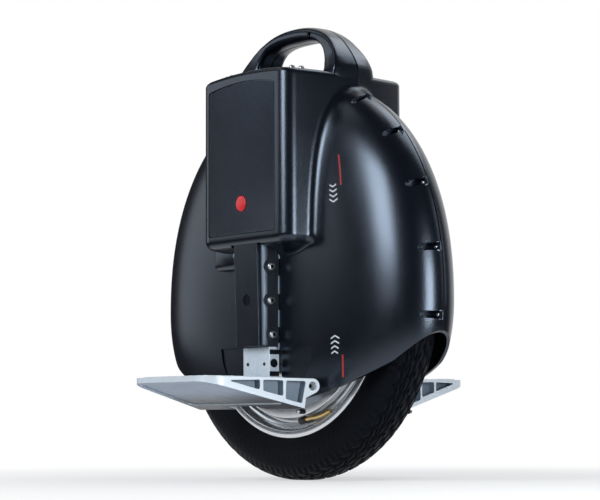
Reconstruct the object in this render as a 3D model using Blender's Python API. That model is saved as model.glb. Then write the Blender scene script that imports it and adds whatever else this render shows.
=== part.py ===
"""Electric unicycle: one motor wheel between two shell halves, with a carry handle and folding pedals.

Sizes are in metres. X runs along the axle, and the wheel rolls along Y with its front at -Y.
The right side, with the tyre valve, is at -X. Z is up from the ground. Side pieces are drawn on
the +X side, where x is the distance outboard of the middle plane, and mirrored for the right side.
"""
import math

import bmesh
import bpy
import numpy as np
from mathutils import Matrix, Vector

# Gap left between pieces that seat on each other, and the step that one cut takes past a face.
GAP = 0.0003
PAST = 0.002
WELD = 0.00001
FLAT_ANGLE = math.radians(0.05)

# Wheel.
WHEEL_SIDES = 40
MOTOR_SIDES = 32
TYRE_RADIUS = 0.2065
TYRE_HALF_WIDTH = 0.027
TYRE_SECTION = 0.049
TYRE_WALL = 0.004
TYRE_TREAD_WALL = 0.0065
TYRE_SQUARENESS = 2.6
TYRE_BEAD_WIDTH = 0.0042
TYRE_BEAD_RISE = 0.0015
GROOVE_OFFSET = 0.0046
GROOVE_WIDTH = 0.0024
GROOVE_DEPTH = 0.0022
BEAD_SUNK = 0.0015
RIM_RADIUS = TYRE_RADIUS - TYRE_SECTION + BEAD_SUNK
RIM_HALF_WIDTH = 0.022
RIM_WALL = 0.0022
RIM_BAND = 0.0075
RIM_SHOULDER = 0.0045
RIM_WELL_HALF_WIDTH = 0.014
RIM_BED_RUN = 0.0045
RIM_WELL_RISE = 0.007
AXLE_HEIGHT = TYRE_RADIUS * math.cos(math.pi / WHEEL_SIDES)

# Hub motor.
RIM_DEPTH = 0.0203
ROTOR_RADIUS = RIM_RADIUS - RIM_DEPTH
ROTOR_WALL = 0.0137
ROTOR_HALF_WIDTH = 0.017
AIR_GAP = 0.0008
STATOR_HALF_WIDTH = 0.013
STATOR_HUB_HALF_WIDTH = 0.016
STATOR_HUB_RADIUS = 0.024
STATOR_WEB_HALF_WIDTH = 0.005
STATOR_RING = 0.032
BEARING_LIP_WALL = 0.0023
COVER_RELIEF = 0.0017
COVER_EDGE_WALL = 0.0052
COVER_STEP = 0.0035
COVER_INSET = 0.0017
COVER_EDGE_RADIUS = ROTOR_RADIUS - COVER_INSET
COVER_STEP_SHARES = (0.847, 0.672, 0.263)
COVER_STEP_RUN = 0.006
BEARING_RADIUS = 0.0175
BEARING_WIDTH = 0.010
BEARING_LIP = 0.0035
AXLE_RADIUS = 0.008
AXLE_SIDES = 24
VALVE_RADIUS = 0.0028
VALVE_LENGTH = 0.0285
VALVE_CAP_RADIUS = 0.0044
VALVE_CAP_LENGTH = 0.011
VALVE_ANGLE = math.radians(24.4)
VALVE_INSET = 0.0118
VALVE_RING_RADIUS = RIM_RADIUS - VALVE_INSET
VALVE_TILT = math.radians(9.0)

# Round shell that covers the wheel, a rounded super-ellipsoid.
SHELL_HALF_WIDTH = 0.0555
SHELL_END_ROOM = 0.0234
SHELL_HALF_LENGTH = TYRE_RADIUS + SHELL_END_ROOM
SHELL_DROP = 0.01
SHELL_MIDDLE = AXLE_HEIGHT - SHELL_DROP
SHELL_ROOF_ROOM = 0.0448
SHELL_RISE = TYRE_RADIUS + SHELL_ROOF_ROOM
SHELL_FLOOR_INSET = 0.0365
SHELL_FALL = TYRE_RADIUS - SHELL_FLOOR_INSET
SHELL_OUTLINE = 2.2
SHELL_CROWN = 4.6
SHELL_WALL = 0.003
SHELL_AXLE_HOLE = 0.013
SKIRT_DROP = 0.1109
SKIRT_LOW = SHELL_MIDDLE - SKIRT_DROP
SKIRT_RISE = 0.056
SKIRT_INSET = 0.0139
SKIRT_REACH = SHELL_HALF_LENGTH - SKIRT_INSET
SKIRT_LIP = 0.0125
SKIRT_LIP_HALF_WIDTH = 0.035

# Side boxes and tower, one block with flat outer faces.
BLOCK_HALF_WIDTH = 0.0865
BLOCK_HALF_LENGTH = 0.0965
BLOCK_TAPER = 0.2
BLOCK_BOW = 0.5
BLOCK_PROUD = 0.0066
BLOCK_TOP = SHELL_MIDDLE + SHELL_RISE + BLOCK_PROUD
BLOCK_TOP_DROP = 0.0043
BLOCK_TOP_REACH = 0.075
BLOCK_EDGE = 0.0055
BLOCK_CORNER = 0.018
BLOCK_FLOOR_RISE = 0.0516
BLOCK_UNDERSIDE = AXLE_HEIGHT + BLOCK_FLOOR_RISE
BLOCK_UNDER_EDGE = 0.011
BLOCK_UNDER_SLOPE = 2.7
BLOCK_FILLET = 0.0135

# Carry handle.
HANDLE_SUNK = 0.0138
HANDLE_CENTRE = BLOCK_TOP - HANDLE_SUNK
HANDLE_HALF_LENGTH = 0.0912
HANDLE_RISE = 0.0715
HANDLE_OUTLINE = 2.2
GRIP_CENTRE_RISE = 0.0102
GRIP_CENTRE = BLOCK_TOP + GRIP_CENTRE_RISE
GRIP_HALF_LENGTH = 0.058
GRIP_HALF_HEIGHT = 0.0296
GRIP_OUTLINE = 2.8
GRIP_FOOT_RADIUS = 0.008
HANDLE_HALF_WIDTH = 0.018
# Half width of the handle's outer face at heights above the block's top.
HANDLE_FACE_HEIGHTS = (-0.007, 0.007, 0.017, 0.030, 0.040)
HANDLE_FACE_HALF_WIDTHS = (0.032, 0.028, 0.024, 0.020, HANDLE_HALF_WIDTH)
HANDLE_FACE_SLANT = 0.055
# How the section changes with height above the block's top: slant of the outer face, and squareness.
HANDLE_SLANT_HEIGHTS = (-0.003, 0.005, 0.030, 0.048)
HANDLE_SLANTS = (BLOCK_TAPER, HANDLE_FACE_SLANT, HANDLE_FACE_SLANT, 0)
HANDLE_SQUARE_HEIGHTS = (0.020, 0.048)
HANDLE_SQUARENESS = (6.5, 2.5)
HANDLE_FOOT_DEPTH = 0.006
HANDLE_SCREW_Y = -0.0335
HANDLE_SCREW_RISE = 0.0045
HANDLE_SCREW_RADIUS = 0.0035
HANDLE_SCREW_DEPTH = 0.005

# Screw pockets along the seam of the shell halves.
SEAM_SCREW_SHARES = (0.889, 0.719, 0.483, 0.203, -0.124)
SEAM_SCREW_INSET = 0.0035
SEAM_POCKET_RADIUS = 0.004
SEAM_POCKET_FLOOR = 0.0045
SEAM_BOSS_RADIUS = 0.0065
SEAM_BOSS_LENGTH = 0.034

# Leg pad let into each side box, with a round badge.
PAD_CENTRE = 0.0032
PAD_HALF_LENGTH = 0.059
PAD_TOP_MARGIN = 0.0118
PAD_TOP = BLOCK_TOP - PAD_TOP_MARGIN
PAD_TOP_DROP = 0.006
PAD_BOTTOM_MARGIN = 0.0148
PAD_BOTTOM = BLOCK_UNDERSIDE + PAD_BOTTOM_MARGIN
PAD_CORNER = 0.0035
PAD_THICKNESS = 0.0013
BADGE_RADIUS = 0.00875
BADGE_AT = (PAD_CENTRE, PAD_BOTTOM + 0.0337)
BADGE_PROUD = 0.0008

# Pedal column: a frame on the axle, its cover, and the hinge block below.
FRAME_HALF_LENGTH = 0.026
FRAME_OUTER = 0.078
FRAME_REACH_DOWN = 0.0584
FRAME_BOTTOM = AXLE_HEIGHT - FRAME_REACH_DOWN
FRAME_LAP = 0.0055
FRAME_TOP = BLOCK_UNDERSIDE + FRAME_LAP
TONGUE_INNER = 0.0478
TONGUE_OUTER = 0.0535
TONGUE_HALF_LENGTH = 0.024
TONGUE_LAP = 0.0085
TONGUE_TOP = FRAME_BOTTOM + TONGUE_LAP
NUT_ACROSS_FLATS = 0.024
NUT_HEIGHT = 0.0072
NUT_SEAT = 0.070
NUT_RECESS_RADIUS = 0.0152
FRAME_BOLTS = (
    (0.0682, AXLE_HEIGHT + 0.0291),
    (0.0683, AXLE_HEIGHT - 0.0083),
    (0.0656, AXLE_HEIGHT - 0.0456),
)
BOLT_HEAD_RADIUS = 0.0045
BOLT_HEAD_HEIGHT = 0.003
BOLT_SHANK_RADIUS = 0.0025
BOLT_LENGTH = 0.009
COVER_HALF_LENGTH = 0.020
COVER_TOP_OUTER = 0.0832
COVER_BOTTOM_OUTER = 0.0802
COLUMN_EDGE = 0.003
PLUG_RADIUS = 0.006
PLUG_DROP = 0.0069
PLUG_HEIGHT = AXLE_HEIGHT - PLUG_DROP
HINGE_X = 0.0659
HINGE_DROP = 0.1032
HINGE_Z = AXLE_HEIGHT - HINGE_DROP
TONGUE_FOOT = 0.0107
TONGUE_BOTTOM = HINGE_Z - TONGUE_FOOT
HINGE_BLOCK_FRONT = 0.068
HINGE_BLOCK_GAP = 0.003
HINGE_BLOCK_TOP = FRAME_BOTTOM - HINGE_BLOCK_GAP
HINGE_BLOCK_BEVEL = 0.001
HINGE_BLOCK_HALF_LENGTH = 0.023
HINGE_EYE_RADIUS = 0.0082
HINGE_SHAFT_RADIUS = 0.004
HINGE_SHAFT_HALF_LENGTH = 0.091
HINGE_PIN_AT = (HINGE_X - 0.0052, HINGE_Z + 0.0259)
HINGE_PIN_RADIUS = 0.0044
HINGE_PIN_HALF_LENGTH = 0.020
HINGE_SIDES = 16

# Pedals.
PEDAL_REACH = 0.190
PEDAL_HALF_WIDTH = 0.095
PEDAL_TAPER = 0.21
PEDAL_CORNER = 0.028
PEDAL_BARREL_RADIUS = 0.008
PEDAL_DECK_RISE = 0.002
PEDAL_TIP_THICKNESS = 0.0057
PEDAL_WEB_BACK = (HINGE_X + 0.0081, HINGE_Z - 0.0127)
PEDAL_WEB_FOOT = (HINGE_X + 0.0097, HINGE_Z - 0.024)
PEDAL_TIP_FOOT = (PEDAL_REACH - 0.005, HINGE_Z + 0.0033)
PEDAL_NOTCH_HALF_WIDTH = 0.0255
PEDAL_NOTCH_REACH = HINGE_X + 0.0221
PEDAL_EYE_RADIUS = 0.00475
PEDAL_EYE_DEPTH = 0.007
PEDAL_WINDOW_DEPTH = 0.009
PEDAL_WINDOW_CORNER = 0.002
# Windows as steps from the hinge axis, outward and up.
PEDAL_WINDOWS = (
    ((0.0106, 0.0051), (0.0286, 0.0056), (0.0286, -0.0142), (0.0116, -0.0184)),
    ((0.0316, 0.0058), (0.0556, 0.0063), (0.0556, -0.0041), (0.0316, -0.0109)),
    ((0.0596, 0.0063), (0.0921, 0.0058), (0.0596, -0.0031)),
)
GRIP_PAD_MARGIN = 0.007
GRIP_PAD_START = PEDAL_NOTCH_REACH + 0.005
GRIP_PAD_SUNK = 0.0008
GRIP_PAD_PROUD = 0.001

# Inside the boxes.
BATTERY_INNER = 0.043
BATTERY_HALF_LENGTH = 0.060
BATTERY_FLOOR_MARGIN = 0.046
BATTERY_BOTTOM = BLOCK_UNDERSIDE + BATTERY_FLOOR_MARGIN
BATTERY_TOP_MARGIN = 0.0518
BATTERY_TOP = BLOCK_TOP - BATTERY_TOP_MARGIN
BATTERY_EDGE = 0.004
LINER_ROOM = 0.0071
LINER_RADIUS = TYRE_RADIUS + LINER_ROOM
LINER_WALL = 0.002
LINER_HALF_WIDTH = 0.031
LINER_SIDE_WALL = 0.0015
LINER_DEPTH = 0.016
LINER_BEVEL = 0.007
LINER_HALF_ANGLE = math.radians(42)
SINK_HALF_LENGTH = 0.038
SINK_THICKNESS = 0.005
BOARD_HALF_WIDTH = 0.070
BOARD_HALF_LENGTH = 0.034
BOARD_THICKNESS = 0.002
BOARD_PART_HEIGHT = 0.011
BOARD_PART_WIDTH = 0.016
BOARD_PART_MARGIN = 0.006
CABLE_RADIUS = 0.003
CABLE_X = 0.037
CABLE_RUN_Y = 0.052

# Button and charge socket on the top.
TOP_ITEM_X = 0.030
BUTTON_RADIUS = 0.007
BUTTON_PROUD = 0.0025
BUTTON_TRAVEL = 0.002
BUTTON_GUIDE = 0.005
SWITCH_RADIUS = 0.010
SWITCH_HEIGHT = 0.010
SOCKET_RADIUS = 0.009
SOCKET_BORE_RADIUS = 0.006
SOCKET_BORE_DEPTH = 0.011
SOCKET_HEIGHT = 0.018
SOCKET_PROUD = 0.001
CAP_RADIUS = 0.0105
CAP_THICKNESS = 0.002
CAP_HINGE_OFFSET = 0.0125
CAP_HINGE_RADIUS = 0.0014
CAP_EAR_HALF_WIDTH = 0.005


def clear_scene():
    """Remove every object, and the meshes and materials left over."""
    for item in list(bpy.data.objects):
        bpy.data.objects.remove(item, do_unlink=True)
    for store in (bpy.data.meshes, bpy.data.curves, bpy.data.materials):
        for block in list(store):
            store.remove(block)


def material(name, colour, metallic, roughness):
    """One Principled material."""
    made = bpy.data.materials.new(name)
    made.use_nodes = True
    shader = made.node_tree.nodes["Principled BSDF"]
    shader.inputs["Base Color"].default_value = (*colour, 1.0)
    shader.inputs["Metallic"].default_value = metallic
    shader.inputs["Roughness"].default_value = roughness
    return made


def mesh_of(points, faces):
    """A mesh with merged points and faces that look outward."""
    shape = bmesh.new()
    corners = [shape.verts.new(point) for point in points]
    for face in faces:
        shape.faces.new([corners[index] for index in face])
    return finished(shape)


def finished(shape):
    """Turn a bmesh into a clean mesh and free it."""
    bmesh.ops.remove_doubles(shape, verts=shape.verts, dist=1e-6)
    bmesh.ops.dissolve_degenerate(shape, edges=shape.edges, dist=1e-6)
    bmesh.ops.recalc_face_normals(shape, faces=shape.faces)
    mesh = bpy.data.meshes.new("solid")
    shape.to_mesh(mesh)
    shape.free()
    return mesh


def height_at(height, point):
    """A prism end is a plain number or a function of the outline point."""
    return height(*point) if callable(height) else height


def prism(outline, axis, low, high):
    """Close an outline between two ends along X, Y or Z."""
    place = {
        "X": lambda a, b, h: (h, a, b),
        "Y": lambda a, b, h: (a, h, b),
        "Z": lambda a, b, h: (a, b, h),
    }[axis]
    count = len(outline)
    points = [place(*point, height_at(low, point)) for point in outline]
    points += [place(*point, height_at(high, point)) for point in outline]
    faces = [list(range(count)), list(range(count, 2 * count))]
    for index in range(count):
        after = (index + 1) % count
        faces.append([index, after, after + count, index + count])
    return mesh_of(points, faces)


def box(x, y, z):
    """A block between two values on each axis."""
    return prism([(x[0], y[0]), (x[1], y[0]), (x[1], y[1]), (x[0], y[1])], "Z", z[0], z[1])


def circle(centre, radius, sides):
    """Corner points of a round outline."""
    turns = [(k + 0.5) * 2 * math.pi / sides for k in range(sides)]
    return [(centre[0] + radius * math.sin(t), centre[1] - radius * math.cos(t)) for t in turns]


def cylinder(axis, centre, radius, low, high, sides):
    """A round bar along one axis."""
    return prism(circle(centre, radius, sides), axis, low, high)


def rounded(outline, radii, steps=3):
    """Replace each corner of an outline by an arc of its own radius."""
    points = []
    count = len(outline)
    for index, corner in enumerate(outline):
        radius = radii[index] if isinstance(radii, (list, tuple)) else radii
        here = Vector(corner)
        before = (Vector(outline[index - 1]) - here).normalized()
        after = (Vector(outline[(index + 1) % count]) - here).normalized()
        if radius <= 0:
            points.append(tuple(here))
            continue
        half = before.angle(after) / 2
        centre = here + (before + after).normalized() * radius / math.sin(half)
        start = here + before * radius / math.tan(half) - centre
        end = here + after * radius / math.tan(half) - centre
        first = math.atan2(start.y, start.x)
        turn = math.atan2(end.y, end.x) - first
        turn = (turn + math.pi) % (2 * math.pi) - math.pi
        for step in range(steps + 1):
            angle = first + turn * step / steps
            points.append((centre.x + radius * math.cos(angle), centre.y + radius * math.sin(angle)))
    return points


def revolve(profile, axis, sides, half_angle=None):
    """Turn a closed (height, radius) profile about an axis, all round or over an arc about the top."""
    place = {
        "X": lambda h, a, b: (h, a, -b),
        "Y": lambda h, a, b: (a, h, -b),
        "Z": lambda h, a, b: (a, b, h),
    }[axis]
    if half_angle is None:
        turns = [(k + 0.5) * 2 * math.pi / sides for k in range(sides)]
    else:
        turns = [math.pi + half_angle * (2 * k / sides - 1) for k in range(sides + 1)]
    count = len(profile)
    points = []
    for turn in turns:
        for height, radius in profile:
            points.append(place(height, radius * math.sin(turn), radius * math.cos(turn)))
    faces = []
    rings = len(turns)
    for ring in range(rings if half_angle is None else rings - 1):
        for index in range(count):
            after = (index + 1) % count
            if profile[index][1] < GAP / 10 and profile[after][1] < GAP / 10:
                continue
            near = ring * count
            far = (ring + 1) % rings * count
            faces.append([near + index, near + after, far + after, far + index])
    if half_angle is not None:
        faces.append(list(range(count)))
        faces.append(list(range((rings - 1) * count, rings * count)))
    return mesh_of(points, faces)


def both_sides(profile):
    """Complete a half profile, given from the middle outward and back, with its mirror image."""
    return profile + [(-height, radius) for height, radius in reversed(profile)]


def combined(first, second, operation):
    """Boolean of two meshes, which are used up."""
    holders = [bpy.data.objects.new("holder", mesh) for mesh in (first, second)]
    for holder in holders:
        bpy.context.scene.collection.objects.link(holder)
    modifier = holders[0].modifiers.new("cut", "BOOLEAN")
    modifier.solver = "EXACT"
    modifier.operation = operation
    modifier.object = holders[1]
    bpy.context.view_layer.update()
    evaluated = holders[0].evaluated_get(bpy.context.evaluated_depsgraph_get())
    shape = bmesh.new()
    shape.from_mesh(evaluated.data)
    for holder in holders:
        bpy.data.objects.remove(holder, do_unlink=True)
    for mesh in (first, second):
        bpy.data.meshes.remove(mesh)
    bmesh.ops.remove_doubles(shape, verts=shape.verts, dist=WELD)
    bmesh.ops.dissolve_degenerate(shape, edges=shape.edges, dist=WELD)
    bmesh.ops.dissolve_limit(
        shape, angle_limit=FLAT_ANGLE, verts=shape.verts, edges=shape.edges, delimit={"NORMAL"}
    )
    result = bpy.data.meshes.new("solid")
    shape.to_mesh(result)
    shape.free()
    return result


def cut(mesh, *cutters):
    """Take cutters away, one after another."""
    for cutter in cutters:
        mesh = combined(mesh, cutter, "DIFFERENCE")
    return mesh


def joined(*meshes):
    """Put meshes that stand clear of each other into one mesh."""
    shape = bmesh.new()
    for mesh in meshes:
        shape.from_mesh(mesh)
        bpy.data.meshes.remove(mesh)
    mesh = bpy.data.meshes.new("solid")
    shape.to_mesh(mesh)
    shape.free()
    return mesh


def moved(mesh, offset):
    """Shift a mesh."""
    mesh.transform(Matrix.Translation(offset))
    return mesh


def mirrored(mesh):
    """A copy reflected to the other side of the middle plane."""
    shape = bmesh.new()
    shape.from_mesh(mesh)
    bmesh.ops.transform(shape, matrix=Matrix.Scale(-1, 4, (1, 0, 0)), verts=shape.verts)
    bmesh.ops.reverse_faces(shape, faces=shape.faces)
    copy = bpy.data.meshes.new("solid")
    shape.to_mesh(copy)
    shape.free()
    return copy


def add_piece(name, mesh, look, origin=(0, 0, 0), parent=None):
    """Add a solid with its origin at a point, tied to a parent if it moves."""
    mesh.name = name
    mesh.transform(Matrix.Translation(-Vector(origin)))
    mesh.materials.clear()
    mesh.materials.append(look)
    mesh.polygons.foreach_set("use_smooth", [True] * len(mesh.polygons))
    mesh.set_sharp_from_angle(angle=math.radians(30))
    item = bpy.data.objects.new(name, mesh)
    bpy.context.scene.collection.objects.link(item)
    item.parent = parent
    item.location = Vector(origin) - (parent.location if parent else Vector())
    return item


def add_pair(name, mesh, look, origin=(0, 0, 0), parents=None):
    """Add a side piece on the left, as drawn, and mirrored on the right."""
    copy = mirrored(mesh)
    left, right = parents or (None, None)
    add_piece(name + "_left", mesh, look, origin, left)
    add_piece(name + "_right", copy, look, (-origin[0], *origin[1:]), right)


def add_axis(name, location):
    """An empty on a joint axis."""
    axis = bpy.data.objects.new(name, None)
    axis.empty_display_size = 0.02
    axis.location = location
    bpy.context.scene.collection.objects.link(axis)
    return axis


def smooth_max(first, second, reach):
    """Larger of two values, with a rounded change-over."""
    blend = np.maximum(reach - np.abs(first - second), 0) / reach
    return np.maximum(first, second) + blend * blend * reach / 4


def smooth_min(first, second, reach):
    """Smaller of two values, with a rounded change-over."""
    return -smooth_max(-first, -second, reach)


def round_shell_reach(turn, height, wall):
    """Plan distance from the middle axis to the round shell.

    The surface is (x / half width)^2 + d^crown = 1, where d is the super-ellipse distance
    of (y, z) from the shell's middle. Each distance is found by halving an interval.
    """
    drop = np.where(height > SHELL_MIDDLE, SHELL_RISE - wall, SHELL_FALL - wall)
    level = (np.abs(height - SHELL_MIDDLE) / drop) ** SHELL_OUTLINE
    low = np.zeros_like(turn)
    high = np.full_like(turn, SHELL_HALF_LENGTH * 1.5)
    for _ in range(40):
        middle = (low + high) / 2
        along = (middle * np.abs(np.cos(turn)) / (SHELL_HALF_LENGTH - wall)) ** SHELL_OUTLINE
        across = (middle * np.sin(turn) / (SHELL_HALF_WIDTH - wall)) ** 2
        inside = across + (along + level) ** (SHELL_CROWN / SHELL_OUTLINE) < 1
        low = np.where(inside, middle, low)
        high = np.where(inside, high, middle)
    return low


def block_reach(turn, inset):
    """Plan distance from the middle axis to the block: flat outer face and slightly bowed ends."""
    across = np.maximum(np.sin(turn), 1e-6)
    along = np.abs(np.cos(turn))
    face = (BLOCK_HALF_WIDTH - inset) / across
    bow = BLOCK_BOW * across * across
    taper = along + BLOCK_TAPER * across
    end = np.maximum(BLOCK_HALF_LENGTH - inset, 0)
    ends = 2 * end / (taper + np.sqrt(taper * taper + 4 * bow * end))
    return smooth_min(face, ends, BLOCK_CORNER)


def underside_inset(height, wall):
    """How far the block draws in at its rounded, slanting underside."""
    below = BLOCK_UNDERSIDE + wall + BLOCK_UNDER_EDGE - height
    arc = BLOCK_UNDER_EDGE - np.sqrt(BLOCK_UNDER_EDGE**2 - np.clip(below, 0, BLOCK_UNDER_EDGE) ** 2)
    return arc + np.maximum(below - BLOCK_UNDER_EDGE, 0) * BLOCK_UNDER_SLOPE


def shell_reach(turn, height, wall, inset=0.0):
    """Plan distance to the whole shell, with a fillet where the block grows out of it."""
    block = block_reach(turn, wall + inset + underside_inset(height, wall))
    return smooth_max(round_shell_reach(turn, height, wall), np.maximum(block, 0), BLOCK_FILLET)


def block_top(y):
    """Height of the block's top, which falls a little toward its ends."""
    return BLOCK_TOP - BLOCK_TOP_DROP * (y / BLOCK_TOP_REACH) ** 2


def skirt_height(x, y):
    """Height of the shell's lower edge, with an arched lip at each end."""
    rise = SKIRT_LOW + SKIRT_RISE * (y / SKIRT_REACH) ** 2
    lip = SKIRT_LIP * np.maximum(1 - (x / SKIRT_LIP_HALF_WIDTH) ** 2, 0)
    return rise + np.where(np.abs(y) > SKIRT_REACH / 2, lip, 0)


def shell_turns(fine):
    """Plan angles of the grid columns, closest where the block grows out of the round shell."""
    nose = np.linspace(0, 22, 6 if fine else 4)
    flank = np.linspace(28, 56, 7 if fine else 4)
    face = np.linspace(66, 90, 3 if fine else 2)
    quarter = np.concatenate([nose, flank, face])
    return np.radians(np.concatenate([quarter, 180 - quarter[-2::-1]]))


def shell_solid(wall, fine):
    """A closed half of the shell's outer form, or of its cavity if wall is not zero."""
    turns = shell_turns(fine)
    root = BLOCK_UNDERSIDE - 0.018
    drop = 0 if fine else 0.010
    rings = []
    edge_height = np.full_like(turns, SKIRT_LOW)
    for _ in range(12):
        reach = shell_reach(turns, edge_height, wall)
        edge_height = skirt_height(reach * np.sin(turns), reach * np.cos(turns))
    edge_height = edge_height - drop
    for share in np.linspace(0, 1, 5 if fine else 3):
        height = edge_height + (root - edge_height) * share
        rings.append((shell_reach(turns, height, wall), height))
    under = BLOCK_UNDERSIDE + np.array([-0.008, -0.003, 0.001, 0.008])
    low = np.linspace(BLOCK_UNDERSIDE + 0.036, BLOCK_TOP - 0.050, 5 if fine else 3)
    high = np.linspace(BLOCK_TOP - 0.038, BLOCK_TOP - 0.014, 3 if fine else 2)
    for level in np.concatenate([under if fine else under[::2] + wall, low, high]):
        height = np.full_like(turns, level)
        rings.append((shell_reach(turns, height, wall), height))
    edge = BLOCK_EDGE if fine else 0.001
    for angle in (0, 45, 90) if fine else (90,):
        inset = edge * (1 - math.cos(math.radians(angle)))
        fall = edge * (1 - math.sin(math.radians(angle))) + wall
        height = np.full_like(turns, BLOCK_TOP - fall)
        for _ in range(6):
            reach = shell_reach(turns, height, wall, inset)
            height = block_top(reach * np.cos(turns)) - fall
        rings.append((reach, height))
    for share in (0.8, 0.45) if fine else (0.5,):
        rings.append((reach * share, block_top(reach * share * np.cos(turns)) - wall))
    points = [
        (far * math.sin(turn), -far * math.cos(turn), level)
        for reach, height in rings
        for far, level, turn in zip(reach, height, turns)
    ]
    columns = len(turns)
    faces = []
    for ring in range(len(rings) - 1):
        for column in range(columns - 1):
            start = ring * columns + column
            faces.append([start, start + 1, start + 1 + columns, start + columns])
    tip = len(points)
    points.append((0, 0, BLOCK_TOP - wall))
    last = (len(rings) - 1) * columns
    for column in range(columns - 1):
        faces.append([last + column, last + column + 1, tip])
    seam = len(points)
    points += [(0, point[1], point[2]) for point in points[:columns]]
    for column in range(columns - 1):
        faces.append([column, column + 1, seam + column + 1, seam + column])
    return closed_at_seam(points, faces, 0 if fine else PAST)


def closed_at_seam(points, faces, past):
    """Fill the open middle plane with one face and push it past the plane if asked."""
    shape = bmesh.new()
    corners = [shape.verts.new(point) for point in points]
    for face in faces:
        shape.faces.new([corners[index] for index in face])
    bmesh.ops.remove_doubles(shape, verts=shape.verts, dist=1e-6)
    bmesh.ops.dissolve_degenerate(shape, edges=shape.edges, dist=1e-6)
    bmesh.ops.triangulate(shape, faces=shape.faces)
    rim = [edge for edge in shape.edges if edge.is_boundary]
    bmesh.ops.edgeloop_fill(shape, edges=rim)
    for corner in shape.verts:
        if corner.co.x < 1e-6:
            corner.co.x = -past
    return finished(shape)


def superellipse(angle, centre, half_length, half_height, squareness):
    """A point on a super-ellipse in the (y, z) plane."""
    along = math.copysign(abs(math.cos(angle)) ** (2 / squareness), math.cos(angle))
    up = math.copysign(abs(math.sin(angle)) ** (2 / squareness), math.sin(angle))
    return Vector((half_length * along, centre + half_height * up))


def handle_solid():
    """Half of the carry handle: sections swept from one foot over the top to the other."""
    foot = BLOCK_TOP - HANDLE_FOOT_DEPTH
    stations = []
    for height in (foot, BLOCK_TOP - 0.003, BLOCK_TOP + 0.001, BLOCK_TOP + 0.005):
        sink = max(GRIP_FOOT_RADIUS + block_top(GRIP_HALF_LENGTH) - max(height, BLOCK_TOP - 0.003), 0)
        flare = GRIP_FOOT_RADIUS - math.sqrt(max(GRIP_FOOT_RADIUS**2 - sink**2, 0))
        up = (height - HANDLE_CENTRE) / HANDLE_RISE
        outer = HANDLE_HALF_LENGTH * (1 - up**HANDLE_OUTLINE) ** (1 / HANDLE_OUTLINE)
        stations.append((Vector((outer, height)), Vector((GRIP_HALF_LENGTH - 0.001 - flare, height))))
    for share in np.linspace(0, 1, 12):
        outer_angle = math.radians(19 + (90 - 19) * share)
        inner_angle = math.radians(2 + (90 - 2) * share)
        outer = superellipse(
            outer_angle, HANDLE_CENTRE, HANDLE_HALF_LENGTH, HANDLE_RISE, HANDLE_OUTLINE
        )
        inner = superellipse(
            inner_angle, GRIP_CENTRE, GRIP_HALF_LENGTH, GRIP_HALF_HEIGHT, GRIP_OUTLINE
        )
        stations.append((outer, inner))
    behind = [(Vector((-o.x, o.y)), Vector((-i.x, i.y))) for o, i in reversed(stations[:-1])]
    points = []
    around = 9
    for outer, inner in stations + behind:
        rise = outer.y - BLOCK_TOP
        face = np.interp(rise, HANDLE_FACE_HEIGHTS, HANDLE_FACE_HALF_WIDTHS)
        squareness = np.interp(rise, HANDLE_SQUARE_HEIGHTS, HANDLE_SQUARENESS)
        slanting = np.interp(rise, HANDLE_SLANT_HEIGHTS, HANDLE_SLANTS)
        middle = (outer + inner) / 2
        half = (outer - inner) / 2
        for step in range(around):
            angle = math.pi / 2 - math.pi * step / (around - 1)
            lift = math.copysign(abs(math.sin(angle)) ** (2 / squareness), math.sin(angle))
            width = HANDLE_HALF_WIDTH + (face - HANDLE_HALF_WIDTH) * (1 + lift) / 2
            x = width * max(math.cos(angle), 0) ** (2 / squareness)
            spot = middle + half * lift - half.normalized() * slanting * x * max(lift, 0)
            points.append((x, spot.x, spot.y))
    count = len(stations) + len(behind)
    faces = [list(range(around)), list(range((count - 1) * around, count * around))]
    for station in range(count - 1):
        for step in range(around):
            after = (step + 1) % around
            near = station * around
            far = near + around
            faces.append([near + step, near + after, far + after])
            faces.append([near + step, far + after, far + step])
    return mesh_of(points, faces)


def seam_screws():
    """Places (y, z) of the screws along the seam, a little inside the shell's outline."""
    places = []
    for share in SEAM_SCREW_SHARES:
        drop = SHELL_RISE if share > 0 else SHELL_FALL
        height = SHELL_MIDDLE + share * drop
        level = (abs(height - SHELL_MIDDLE) / drop) ** SHELL_OUTLINE
        along = SHELL_HALF_LENGTH * (1 - level) ** (1 / SHELL_OUTLINE)
        lean = (abs(height - SHELL_MIDDLE) / drop) ** (SHELL_OUTLINE - 1) / drop
        reach = (along / SHELL_HALF_LENGTH) ** (SHELL_OUTLINE - 1) / SHELL_HALF_LENGTH
        normal = Vector((reach, math.copysign(lean, height - SHELL_MIDDLE))).normalized()
        spot = Vector((along, height)) - normal * (SEAM_SCREW_INSET + SEAM_POCKET_RADIUS / 4)
        places.append((spot.x, spot.y))
        places.append((-spot.x, spot.y))
    return places


def pad_outline(margin):
    """Outline (y, z) of the leg pad, wider by a margin."""
    half = PAD_HALF_LENGTH + margin
    low = PAD_BOTTOM - margin
    points = [(PAD_CENTRE - half, low), (PAD_CENTRE + half, low)]
    for share in np.linspace(1, -1, 7):
        y = PAD_CENTRE + half * share
        points.append((y, PAD_TOP + margin - PAD_TOP_DROP * share * share))
    radii = [PAD_CORNER, PAD_CORNER, PAD_CORNER] + [0] * 5 + [PAD_CORNER]
    return rounded(points, radii)


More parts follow.
